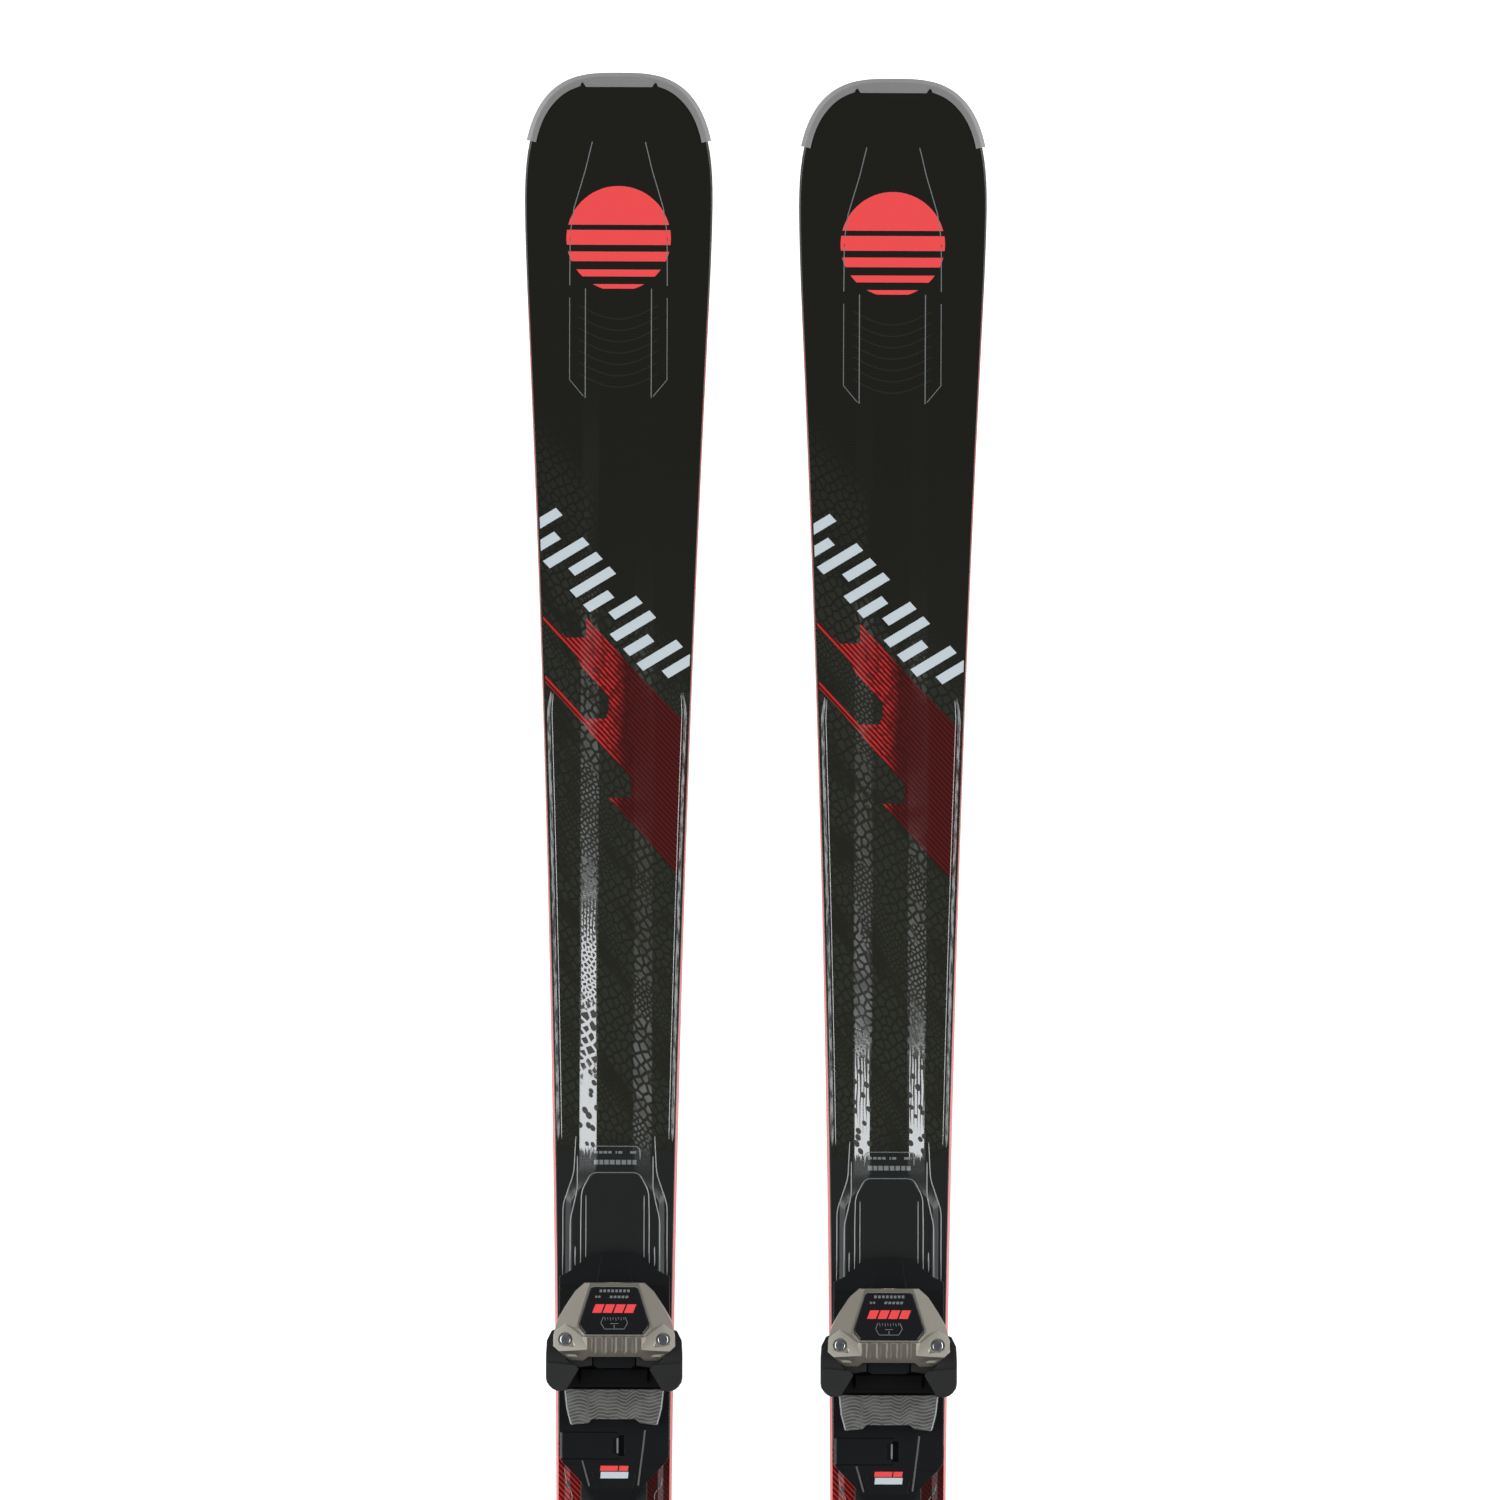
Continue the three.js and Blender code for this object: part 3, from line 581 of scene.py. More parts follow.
class Topsheet(Nodes):
    """The node groups of the deck's print of reptile scales."""

    def __init__(self, side):
        super().__init__(side + "_topsheet_print")
        self.left = side == "left"
        self.shift = 0.0 if self.left else 40.0  # so that the two skis' scales differ
        self.x, self.y, _ = self.xyz()
        off = self.math("ABSOLUTE", self.x)
        pins = self.math("SINE", self.mul(self.x, 2 * math.pi / PIN_PITCH))
        weft = self.math("SINE", self.mul(self.y, 2 * math.pi / WEFT_PITCH))
        self.weave = self.mul(self.add(pins, self.mul(weft, 0.35)), 0.5)
        self.down = self.sub(self.mul(self.x, 0.5), self.mul(self.y, 0.87))
        self.over = self.add(self.mul(self.x, 0.87), self.mul(self.y, 0.5))
        self.big = self.cells(self.leaning(0.145, 0.225), randomness=0.55)
        self.small = self.cells(self.leaning(0.27, 0.40), randomness=0.6)
        self.oval = self.cells(self.leaning(0.115, 0.165), "F1", 0.9)
        inside = self.step(off, SLOPE_IN, SLOPE_IN + 0.6)
        outside = self.step(off, SLOPE_OUT, SLOPE_OUT - 0.6)
        self.slope = self.both(inside, outside, self.step(self.y, 860, 760),
                               self.step(self.y, GLOSS_REAR, GLOSS_REAR + 4))

    def leaning(self, along, across):
        """Places for cells that lean down to the right, with so many to a millimetre each way."""
        down = self.add(self.mul(self.down, along), self.shift)
        return self.vector(down, self.mul(self.over, across), 0.0)

    def spots(self):
        """The slopes' scales as dark spots, dense and then scattered, and strokes where the shine starts.

        depth is how far a place is in front of the start of its slope's shine."""
        left_start, right_start = (468, 296) if self.left else (372, 372)
        slow = self.vector(self.mul(self.x, 0.3), self.mul(self.y, 0.05), self.shift)
        wander = self.noise(1.0, 1, 0.5, slow)
        wandering = self.add(self.y, self.mul(self.sub(wander, 0.5), 24.0))
        self.depth = self.sub(wandering, self.blend(self.step(self.x, -1, 1), left_start, right_start))
        self.patches = self.noise(1.0, 2, 0.5, self.leaning(0.012, 0.034))
        self.density = self.noise(1.0, 1, 0.5, self.leaning(0.05, 0.07))
        spots = self.step(self.sub(self.oval, self.add(0.09, self.mul(self.density, 0.28))), 0.025, -0.025)
        if self.left:
            spots = self.blend(self.step(self.depth, -118, -104), spots, self.step(self.big, 0.15, 0.2))
            spots = self.blend(self.step(self.depth, -76, -60), spots, self.step(self.small, 0.19, 0.26))
        strokes = self.math("SINE", self.add(self.mul(self.x, 2 * math.pi / 2.1), self.mul(wander, 6.0)))
        fade = self.mul(self.step(self.depth, 0.0, -36.0 if self.left else -62.0), 1.2)
        return self.math("MAXIMUM", spots, self.step(self.sub(strokes, fade), -0.2, 0.1))

    def scales(self):
        """Small scales in some patches and big ones in others, wider apart on the slopes."""
        choose = self.step(self.patches, 0.40, 0.44)
        slope_choose = self.step(self.patches, 0.44, 0.5)
        wide = self.blend(slope_choose, self.step(self.small, 0.18, 0.27), self.step(self.big, 0.13, 0.2))
        level = self.blend(choose, self.step(self.small, 0.08, 0.2), self.step(self.big, 0.08, 0.17))
        return self.blend(self.slope, level, wide)

    def print_area(self):
        """The print starts behind a diagonal line and stops before the binding."""
        diagonal = self.add(self.y, self.mul(self.x, 1.05))
        slow = self.vector(self.mul(self.down, 0.016), self.mul(self.over, 0.05), self.add(self.shift, 9.0))
        clouds = self.noise(1.0, 3, 0.6, slow)
        behind = self.both(self.step(diagonal, 690, 640), self.step(self.y, PRINT_REAR - 22, PRINT_REAR),
                           self.step(clouds, 0.33, 0.5))
        before = self.both(self.step(diagonal, 742, 700), self.step(diagonal, 640, 690),
                           self.step(self.x, -12, -20))
        return self.math("MAXIMUM", behind, self.mul(before, 0.8))

    def tone(self, matt, painted_sheen_beside_shine):
        """Olive black, paler where it is matt, and palest beside the slopes' shine, where a painted sheen
        stands in for the light the scales catch; the slopes also carry a faint painted sheen.
        """
        olive = self.mix(self.step(self.y, 780, 520), (0.0068, 0.0062, 0.0042), (0.0122, 0.0126, 0.0080))
        deck = self.mix(self.step(self.y, PRINT_REAR, 290), olive, (0.0085, 0.0098, 0.0102))
        deck = self.mix(self.mul(self.add(self.weave, 0.5), 0.3), deck, (0.025, 0.025, 0.019))
        tone = self.mix(self.mul(matt, 0.64), deck, (0.023, 0.0255, 0.018))
        # painted sheen: matt scales just in front of the shine are painted pale grey in place of the light
        # they catch
        tone = self.mix(self.both(matt, painted_sheen_beside_shine, 0.85), tone, (0.125, 0.135, 0.13))
        # painted sheen: the ridge's slopes behind y 600 are lightened slightly in place of their soft
        # reflection
        painted_slope_sheen = self.mul(self.both(self.slope, self.step(self.y, 720, 600)), 0.06)
        return self.mix(painted_slope_sheen, tone, (0.10, 0.095, 0.08))

    def roughness(self, matt):
        """Gloss that ends in ragged strokes before the binding, with a satin shovel."""
        streaks = self.noise(900, 2, 0.6, self.scaled((1.0, 0.012, 1.0)))
        gloss = self.add(0.035, self.mul(streaks, 0.03))
        rough = self.add(gloss, self.mul(matt, self.blend(self.slope, 0.23, 0.32)))
        fray = self.noise(1.0, 1, 0.5, self.vector(self.mul(self.x, 1.1), self.shift, 0.0))
        frayed = self.add(self.y, self.mul(self.sub(fray, 0.5), 16.0))
        ragged = self.step(frayed, GLOSS_REAR + 1, GLOSS_REAR + 4)
        return self.blend(ragged, 0.27, self.blend(self.step(self.y, 640, 745), rough, 0.16))


def topsheet_material(side):
    """Glossy dark deck with pinstripes and a print of matt reptile scales.

    The scales catch less of a reflection than the gloss round them; beside it they are painted paler, a
    painted sheen in place of the light they catch there."""
    n = Topsheet(side)
    spots = n.spots()
    shine = n.both(n.slope, n.step(n.depth, 4, -4))
    scales = n.scales()
    matt = n.blend(shine, n.both(n.print_area(), scales), spots)
    # patches that vary the painted sheen beside the shine
    wear_and_sheen = n.add(0.35, n.mul(n.step(n.density, 0.36, 0.56), 0.65))
    painted_sheen_beside_shine = n.both(n.slope, n.step(n.depth, 190, 20), n.sub(1.0, shine), wear_and_sheen)
    tone = n.tone(matt, painted_sheen_beside_shine)
    rough = n.roughness(matt)
    relief = n.add(n.mul(n.weave, 0.14), n.mul(matt, 0.6))
    normal = n.bump(relief, 0.12, 0.05, n.bump(n.noise(14, 2), 0.05, 0.5))
    return n.finish(tone, rough, normal)


def striped_red():
    """Fine diagonal red lines, broken into dashes across the middle, darker towards the right edge."""
    n = Nodes("red_line_print")
    x, y, _ = n.xyz()
    across = n.add(n.mul(x, 0.73), n.mul(y, 0.683))
    along = n.sub(n.mul(x, 0.683), n.mul(y, 0.73))
    lines = n.add(n.mul(n.math("SINE", n.mul(across, 2 * math.pi / 2.55)), 0.5), 0.5)
    line = n.step(lines, 0.34, 0.62)
    flecks = n.noise(1.0, 1, 0.5, n.vector(n.mul(across, 0.62), n.mul(along, 0.17), 0.0))
    dashes = n.step(flecks, 0.43, 0.49)
    fade = n.step(n.add(x, n.mul(n.sub(n.noise(24, 2), 0.5), 10.0)), -6, 6)
    band = n.step(n.math("ABSOLUTE", n.add(x, 3.0)), 17, 12)
    broken = n.both(line, n.blend(band, 1.0, n.add(0.4, n.mul(dashes, 0.6))))
    dark = n.mix(fade, (0.036, 0.005, 0.005), (0.032, 0.003, 0.003))
    bright = n.mix(fade, (0.50, 0.020, 0.019), (0.088, 0.006, 0.005))
    tone = n.mix(broken, dark, bright)
    return n.finish(tone, 0.22, n.bump(lines, 0.08, 0.04))


def printed(name, color, tint=0.06):
    """Ink under the clear topsheet: even, with the deck's pinstripes faintly through it. The pale lines
    inside the shoulders and the grey relief lines use it as a painted highlight rather than ink.
    """
    n = Nodes(name)
    x, y, _ = n.xyz()
    pins = n.add(n.mul(n.math("SINE", n.mul(x, 2 * math.pi / PIN_PITCH)), 0.5), 0.5)
    cloud = n.noise(22, 3)
    fac = n.mul(n.add(pins, cloud), tint)
    tone = n.mix(fac, color, tuple(c * 0.72 for c in color))
    return n.finish(tone, n.add(n.mul(cloud, 0.06), 0.16), n.bump(pins, 0.05, 0.03))


def glide_material():
    """Grey plate with a pressed pattern of nested waves and a fine grain."""
    n = Nodes("glide_plate_waves")
    x, y, _ = n.xyz()
    fold = n.math("PINGPONG", n.add(x, 60.0), 6.2)
    inner = n.step(n.math("ABSOLUTE", x), 19, 16)
    lift = n.mul(n.mul(fold, inner), 0.42)
    ripple = n.mul(n.math("SINE", n.mul(x, 0.34)), 1.1)
    phase = n.mul(n.add(n.add(y, lift), ripple), 2 * math.pi / 2.3)
    waves = n.add(n.mul(n.math("SINE", phase), 0.5), 0.5)
    crest = n.step(waves, 0.62, 0.96)
    grain = n.noise(2400, 2, 0.7)
    wear_and_sheen = n.step(n.noise(90, 3, 0.6), 0.40, 0.62)
    tone = n.mix(crest, (0.062, 0.062, 0.058), (0.17, 0.17, 0.162))
    tone = n.mix(n.both(grain, wear_and_sheen, 0.6), tone, (0.20, 0.20, 0.19))
    return n.finish(tone, 0.46, n.bump(grain, 0.3, 0.04, n.bump(waves, 0.5, 0.25)), specular=0.4)


def base_material():
    """Sintered running base with a fine stone-ground structure along the ski."""
    n = Nodes("sintered_base")
    grooves = n.noise(420, 2, 0.6, n.scaled((6, 0.05, 1)))
    cloud = n.noise(8, 3)
    tone = n.mix(grooves, (0.012, 0.012, 0.013), (0.03, 0.03, 0.032))
    return n.finish(tone, n.add(n.mul(cloud, 0.1), 0.38), n.bump(grooves, 0.25, 0.04))


def sidewall_material():
    """Coral sidewall with milling marks along the ski."""
    n = Nodes("coral_sidewall")
    marks = n.noise(300, 3, 0.6, n.scaled((1, 0.03, 4)))
    _, y, _ = n.xyz()
    tone = n.mix(n.mul(marks, 0.5), (0.56, 0.052, 0.042), (0.44, 0.036, 0.028))
    tone = n.mix(n.step(y, 835, 885), tone, (0.014, 0.013, 0.012))  # black round the shovel
    return n.finish(tone, n.add(n.mul(marks, 0.12), 0.36), n.bump(marks, 0.2, 0.05))


def shoulder_material():
    """Painted highlight over the deck's rounded shoulders: pale flecks on black, stretched along the ski, in
    place of the speckled glint of light on them.
    """
    n = Nodes("shoulder_painted_glint")
    flecks = n.noise(700, 3, 0.65, n.scaled((1, 0.16, 1)))
    tone = n.mix(n.step(flecks, 0.36, 0.62), (0.04, 0.042, 0.042), (0.32, 0.33, 0.325))
    return n.finish(tone, 0.3, n.bump(flecks, 0.3, 0.05))


FLOOR_GLOW = 0.87


def floor_material():
    """White paper, lit from within as well so that it stays even."""
    n = Nodes("studio_floor")
    cloud = n.noise(1.5, 2)
    tone = n.mix(cloud, (0.90, 0.90, 0.90), (0.92, 0.92, 0.92))
    n.shader.inputs["Emission Color"].default_value = (1, 1, 1, 1)
    n.shader.inputs["Emission Strength"].default_value = FLOOR_GLOW
    return n.finish(tone, 0.8, specular=0.1)


MAT = {
    "left_topsheet": topsheet_material("left"),
    "right_topsheet": topsheet_material("right"),
    "red": striped_red(),
    "coral": printed("coral_ink", (0.86, 0.075, 0.078)),
    "pale": printed("pale_ink", (0.55, 0.62, 0.66)),
    # grey ink for the prints, also a painted highlight on the relief lines
    "line": printed("grey_ink_and_painted_glint", (0.17, 0.19, 0.195), 0.02),
    "ring": printed("ring_relief", (0.017, 0.017, 0.014), 0.02),
    "rail": shoulder_material(),
    # pale line painted as a highlight along the deck's shoulders
    "rail_line": printed("pale_painted_highlight_line", (0.33, 0.35, 0.35), 0.05),
    "relief": moulded("relief_gloss", (0.010, 0.011, 0.012), 0.3, 0.2, 0.4, (0.01, 0.01, 0.01)),
    "sidewall": sidewall_material(),
    "base": base_material(),
    "edge": metal("edge_steel", (0.62, 0.63, 0.65), 0.3, (6, 0.4, 6)),
    "guard": moulded("guard_grey", (0.20, 0.20, 0.197), 0.34, 0.8, wear_and_sheen=(0.1, 0.1, 0.1)),
    "black": moulded("black_moulding", (0.0062, 0.0066, 0.007), 0.24, 0.6, 0.35, (0.012, 0.012, 0.012)),
    "black_gloss": moulded("black_gloss", (0.006, 0.006, 0.007), 0.1, 0.1, 0.6),
    "wing": moulded("wing_moulding", (0.014, 0.0142, 0.0142), 0.38, 1.0, 0.4, (0.02, 0.02, 0.02)),
    "track": moulded("track_moulding", (0.009, 0.009, 0.0095), 0.42),
    "bronze": bronze_paint(),
    "bolt": metal("zinc_bolt", (0.62, 0.64, 0.66), 0.22, (8, 8, 8)),
    "steel": metal("plain_steel", (0.55, 0.56, 0.58), 0.28),
    "wire": metal("brake_wire_steel", (0.36, 0.37, 0.385), 0.3, (6, 6, 1)),
    "glide": glide_material(),
    # near-black painted shade for the step between the toe wings
    "painted_shade_cavity": moulded("painted_shade_recess", (0.003, 0.003, 0.0033), 0.6, 0.6, 0.15, (0.002, 0.002, 0.002)),
}

# ---- the ski itself --------------------------------------------------------------------------------------


def slab_section(y, half, low, high, top_in):
    """A flat layer with slightly eased corners."""
    r = 0.25
    right = [(half - r, low), (half, low + r), (half - top_in, high - r), (half - top_in - r, high)]
    return [(x, y, z) for x, z in right] + [(-x, y, z) for x, z in reversed(right)]


def ski_layer(inset, low, high, top_in=0.0):
    return loft([slab_section(y, h, low(y), high(y), top_in) for y, h in stations(inset)])


def deck_section(y, half):
    half += 0.9 * smooth(y, 250, 600)  # less of the sidewall shows towards the shovel
    low = base_z(y) + thickness(y) - SHEET_T
    flat = low + SHEET_T
    rise = ridge(y)
    foot = min(ridge_foot(y), half - 1.4)
    crest = min(ridge_top(y), foot - 0.6)
    run = max(0.7, foot - crest)
    soft = min(0.35, run * 0.3)
    near = min(1.4, run * 0.4)

    def slope_at(step):
        return flat + rise * step / run
    right = [
        (half, low),
        (half, flat - 0.45),
        (half - 0.12, flat - 0.16),
        (half - 0.5, flat),
        (max(half - 1.2, foot + soft), flat),
        (foot + soft, flat),
        (foot - soft, slope_at(soft)),
        (foot - near, slope_at(near)),
        (crest + near, slope_at(run - near)),
        (crest + soft, slope_at(run - soft)),
        (crest - soft, flat + rise),
        (crest - 1.4, flat + rise),
        (crest * 0.4, flat + rise),
    ]
    return [(x, y, z) for x, z in right] + [(-x, y, z) for x, z in reversed(right)]


place("base_sheet", ski_layer(EDGE + GAP, base_z, lambda y: base_z(y) + BASE_T), "ski",
      "base", "running_base")
place("sidewalls", ski_layer(0.4, lambda y: base_z(y) + EDGE + GAP,
                             lambda y: base_z(y) + thickness(y) - SHEET_T - GAP, 1.4),
      "ski", "sidewall", "core_sidewalls")
place("deck", loft([deck_section(y, h) for y, h in stations(1.9, 6.0)]), "ski",
      "topsheet", "topsheet", smooth_angle=50)


def edge_ring():
    outer, inner = stations(0.2), stations(EDGE)
    def at(side, i):
        (y, h), (yi, hi) = outer[i], inner[i]
        z, zi, r = base_z(y), base_z(yi), 0.25
        return [(side * h, y, z + r), (side * h, y, z + EDGE - r), (side * (h - r), y, z + EDGE),
                (side * hi, yi, zi + EDGE), (side * hi, yi, zi), (side * (h - r), y, z)]
    count = range(len(outer))
    return loft([at(1, i) for i in count] + [at(-1, i) for i in reversed(count)], ring=True)


place("edge_ring", edge_ring(), "ski", "edge", "steel_edge")


def end_guard(ys, first_side, profile):
    """A guard round one end: profile(share, deck, point, out) lists its (out, height) corners there.

    share is the share of the way round, and deck the deck's height over the base."""
    def side_points(side):
        return [(side * half_width(y), y) for y in ys]
    edge = side_points(first_side) + side_points(-first_side)[::-1]
    edge = [Vector(p) for p in edge]
    total = sum((b - a).length for a, b in zip(edge, edge[1:]))
    sections, run = [], 0.0
    for i, p in enumerate(edge):
        if i:
            run += (p - edge[i - 1]).length
        along = heading(edge, i)
        out = Vector((along.y, -along.x))
        deck = thickness(p.y) + ridge(p.y) + GAP
        section = []
        for offset, height in profile(run / total, deck, p, out):
            q = p + out * offset
            section.append((q.x, q.y, base_z(q.y) + height))
        sections.append(section)
    return loft(sections)


TIP_INNER_Y = 1004.3  # the straight part of the tip guard's inner edge


def tip_profile(_share, deck, point, out):
    """The flange's inner edge is straight across the middle and steps in along each arm."""
    x = abs(point.x)
    if x < 24.2:
        flange = (point.y - TIP_INNER_Y) / max(0.3, out.y)
    else:
        flange = 3.2 + 1.9 * smooth(x, 25.4, 27.2) - 0.6 * smooth(x, 44, 58)
    return [(1.7, 0.5), (1.9, 1.4), (1.8, deck * 0.55), (-0.8, deck + 1.3), (-1.5, deck + 1.5),
            (-flange + 0.5, deck + 0.8), (-flange, deck + 0.45), (-flange, deck - 0.35),
            (0.25, deck - 0.35), (0.25, 0.5)]


def tail_profile(share, deck, _point, _out):
    """The flange is narrower at the guard's two ends."""
    flange = 4.0 + 3.0 * smooth(min(share, 1 - share), 0.0, 0.08)
    return [(1.6, 0.5), (1.8, 1.4), (1.75, deck * 0.7), (1.1, deck + 1.2), (0.0, deck + 1.6),
            (-flange + 0.8, deck + 1.5), (-flange, deck + 0.7), (-flange, deck - 0.35),
            (0.25, deck - 0.35), (0.25, 0.5)]


def end_ys(start, wide, end, count):
    """Places from start to one end of the ski, closer together towards the end."""
    first = math.degrees(math.asin((start - wide) / (end - wide)))
    turns = [math.radians(lerp(first, 89.3, i / count)) for i in range(count + 1)]
    return [wide + (end - wide) * math.sin(turn) for turn in turns]


TIP_GUARD_START, TAIL_GUARD_START = 969, -707
tip_mesh = end_guard(end_ys(TIP_GUARD_START, SHOVEL_Y, TIP_Y, 60), 1, tip_profile)
place("tip_cap", tip_mesh, "ski", "guard", "tip_guard", smooth_angle=24)
tail_mesh = end_guard(end_ys(TAIL_GUARD_START, HEEL_Y, TAIL_Y, 20), -1, tail_profile)
place("tail_cap", tail_mesh, "ski", "guard", "tail_guard", smooth_angle=24)

# ---- graphics laid on the deck ---------------------------------------------------------------------------

INK_TOP, INK_DEPTH = 0.07, 0.25  # above and below the topsheet's surface


def inlay(outline, top=INK_TOP, limit=2.4, step=8):
    """A flat shape wrapped onto the deck as a thin closed body.

    limit keeps it this far from the edge, and step is the length that it is cut into along the ski."""
    bm = bmesh.new()
    bm.faces.new([bm.verts.new((x, y, 0)) for x, y in outline])
    ys = [y for _, y in outline]
    def slice_at(point, normal):
        bmesh.ops.bisect_plane(bm, geom=bm.verts[:] + bm.edges[:] + bm.faces[:], dist=1e-5,
                               plane_co=point, plane_no=normal)
    for x in (-32.5, -29, -24, -12, 12, 24, 29, 32.5):
        slice_at((x, 0, 0), (1, 0, 0))
    y = math.ceil(min(ys) / step) * step
    while y < max(ys):
        slice_at((0, y, 0), (0, 1, 0))
        y += step
    for side in BOTH:  # trim what would stand over the edge
        low, high = (Vector((side * (half_width(y) - limit), y, 0)) for y in (min(ys), max(ys)))
        normal = Vector((high.y - low.y, low.x - high.x, 0)) * side
        bmesh.ops.bisect_plane(bm, geom=bm.verts[:] + bm.edges[:] + bm.faces[:], dist=1e-5,
                               plane_co=low, plane_no=normal, clear_outer=True)
    for v in bm.verts:
        most = half_width(v.co.y) - limit
        v.co.x = max(-most, min(most, v.co.x))
    bmesh.ops.triangulate(bm, faces=bm.faces[:])
    flat = [v.co.copy() for v in bm.verts]
    bm.verts.index_update()
    faces = [[v.index for v in f.verts] for f in bm.faces]
    rim = [e for e in bm.edges if len(e.link_faces) == 1]
    rims = []
    for e in rim:
        face = e.link_faces[0]
        for loop in face.loops:
            if loop.edge == e:
                rims.append((loop.vert.index, loop.link_loop_next.vert.index))
    bm.free()
    n = len(flat)
    vertices = [(p.x, p.y, deck_z(p.x, p.y) + top) for p in flat]
    vertices += [(p.x, p.y, deck_z(p.x, p.y) - INK_DEPTH) for p in flat]
    solid_faces = faces + [[i + n for i in reversed(f)] for f in faces]
    solid_faces += [[a, a + n, b + n, b] for a, b in rims]
    mesh = mesh_of(vertices, solid_faces)
    outward(mesh)
    return mesh


def pair_of_inlays(outline, **settings):
    """One inlay on the left and its mirror image on the right, both outlines wound the same way."""
    return joined(inlay(flipped(outline, -1), **settings), inlay(outline[::-1], **settings))


def stroke(points, width, top=INK_TOP):
    """A line of one width along points on the deck."""
    path = [Vector(p) for p in points]
    left, right = [], []
    for i, p in enumerate(path):
        along = heading(path, i)
        side = Vector((-along.y, along.x)) * width / 2
        left.append(tuple(p + side))
        right.append(tuple(p - side))
    return inlay(left + right[::-1], top, limit=0.5)


def arc_points(centre, radius, start, end, steps):
    angles = [math.radians(lerp(start, end, i / steps)) for i in range(steps + 1)]
    return [(centre[0] + radius * math.cos(a), centre[1] + radius * math.sin(a)) for a in angles]


def emblem():
    """A plain coral disc sliced by level gaps that widen downwards."""
    centre, radius = (0.0, 905.0), 34.5
    pieces = []
    edges = [34.5, 9.0, 5.6, -4.2, -8.6, -15.0, -20.4, -25.0, -30.0, -33.0]
    for top, bottom in zip(edges[::2], edges[1::2]):
        a, b = math.degrees(math.asin(top / radius)), math.degrees(math.asin(bottom / radius))
        right = arc_points(centre, radius, a if top < radius else 90, b, 24)
        left = arc_points(centre, radius, 180 - b, (180 - a) if top < radius else 90, 24)
        if top >= radius:
            left = left[:-1]
        pieces.append(inlay(right + left))
    return joined(*pieces)


place("emblem", emblem(), "ski", "coral")


def slanted_bars():
    """A row of plain slanted bars along the diagonal, some of them cut short."""
    start, end = Vector((-56, 721.5)), Vector((41, 616))
    along = (end - start).normalized()
    up = Vector((-along.y, along.x))
    tall, width, pitch, lean = 30.0, 6.6, 13.1, 0.2
    whole, low_part, high_part = (0, 1), (0, 0.62), (0.3, 1)
    spans = [whole, low_part, whole, high_part, whole, low_part, high_part, whole, low_part, whole,
             high_part]
    bars = []
    for i, (low, high) in enumerate(spans):
        def corner(step, share):
            way = i * pitch + step + lean * tall * share
            return tuple(start + along * way + up * tall * (share - 0.5))
        bars.append(inlay([corner(0, low), corner(width, low), corner(width, high), corner(0, high)]))
    return joined(*bars)


place("slanted_bars", slanted_bars(), "ski", "pale")

# outlines of the band of red lines and of its two tails
RED_BAND = [(-20.5, 654.5), (14.5, 617), (48, 582), (48, 479), (41, 484.5), (-5, 535.5), (9.5, 536),
            (9.5, 548.5), (-18, 579), (-22, 588), (-7.5, 588), (-5.5, 594), (-5.5, 602), (-23, 621.5),
            (-33.5, 641.5), (-20.5, 641.5)]
RED_TAILS = [
    [(-50.5, 658), (-32, 639.5), (-21.5, 627), (-23, 624.5), (-33.5, 637), (-50.5, 654)],
    [(-49.5, 619), (-33.5, 601.5), (-17, 583.5), (-18, 580), (-36.5, 600.5), (-49.5, 614)],
]


def red_bands():
    return joined(inlay(RED_BAND), *[inlay(tail, INK_TOP + 0.02) for tail in RED_TAILS])


place("red_bands", red_bands(), "ski", "red")


def tail_bands():
    """Two slanted bands of the same red lines between the heel piece and the tail."""
    bands = []
    for left, right, tall in ((-512, -596, 62), (-592, -676, 16)):
        corners = [(-1, left), (1, right), (1, right - tall), (-1, left - tall)]
        bands.append(inlay([(s * (half_width(y) - 3.4), y) for s, y in corners]))
    return joined(*bands)


place("tail_bands", tail_bands(), "ski", "red")


def bottle_lines():
    """The fine outline engraved round the shovel and down beside the ridge."""
    lines = [([(17.5, 968.5), (22, 950), (29.5, 925), (32, 908), (32.2, 874)], 0.62),
             ([(21.8, 872), (21.8, 800)], 0.62),
             ([(32.2, 866), (32.2, 812), (23, 801)], 0.5)]
    return joined(*[stroke(flipped(points, s), width) for s in BOTH for points, width in lines])


place("fine_outline", bottle_lines(), "ski", "line")


def rings():
    """Nested arcs pressed faintly into the shovel."""
    count, first_y, pitch = 7, 852.0, 7.5
    half, drop, steps = 26.0, 9.0, 20
    across = [lerp(-half, half, i / steps) for i in range(steps + 1)]
    arcs = []
    for k in range(count):
        points = [(x, first_y - k * pitch - drop * math.cos(x / half * math.pi / 2) + drop) for x in across]
        arcs.append(stroke(points, 0.9, 0.05))
    return joined(*arcs)


place("pressed_arcs", rings(), "ski", "ring")


def bead(points, width, height, sink=0.2):
    """A low half-round bead along points on the deck."""
    path = [Vector((x, y, deck_z(x, y))) for x, y in points]
    last = len(path) - 1
    def taper(share):
        return max(0.25, min(1.0, share * last * 0.8, (1 - share) * last * 0.8)) * width / 2
    return tube([(p.x, p.y, p.z - sink) for p in path], taper, flatten=(height + sink) / (width / 2))


def line_points(points, radius=6.0):
    corners = rounded_path([(x, y, 0) for x, y in points], radius)
    out = []
    for a, b in zip(corners, corners[1:]):
        steps = max(1, int((b - a).length / 2))
        out += [tuple(a.lerp(b, k / steps))[:2] for k in range(steps)]
    return out + [tuple(corners[-1])[:2]]


def shoulder(inset, bend, width, height):
    """A bead along both edges of the deck, a distance inside them, that bends in at its front end."""
    front, rear, steps = 607, 308, 60
    ys = [lerp(front, rear, i / steps) for i in range(steps + 1)]
    line = [(half_width(y) - inset - bend * smooth(y, front - 17, front), y) for y in ys]
    return joined(*[bead(flipped(line, s), width, height) for s in BOTH])


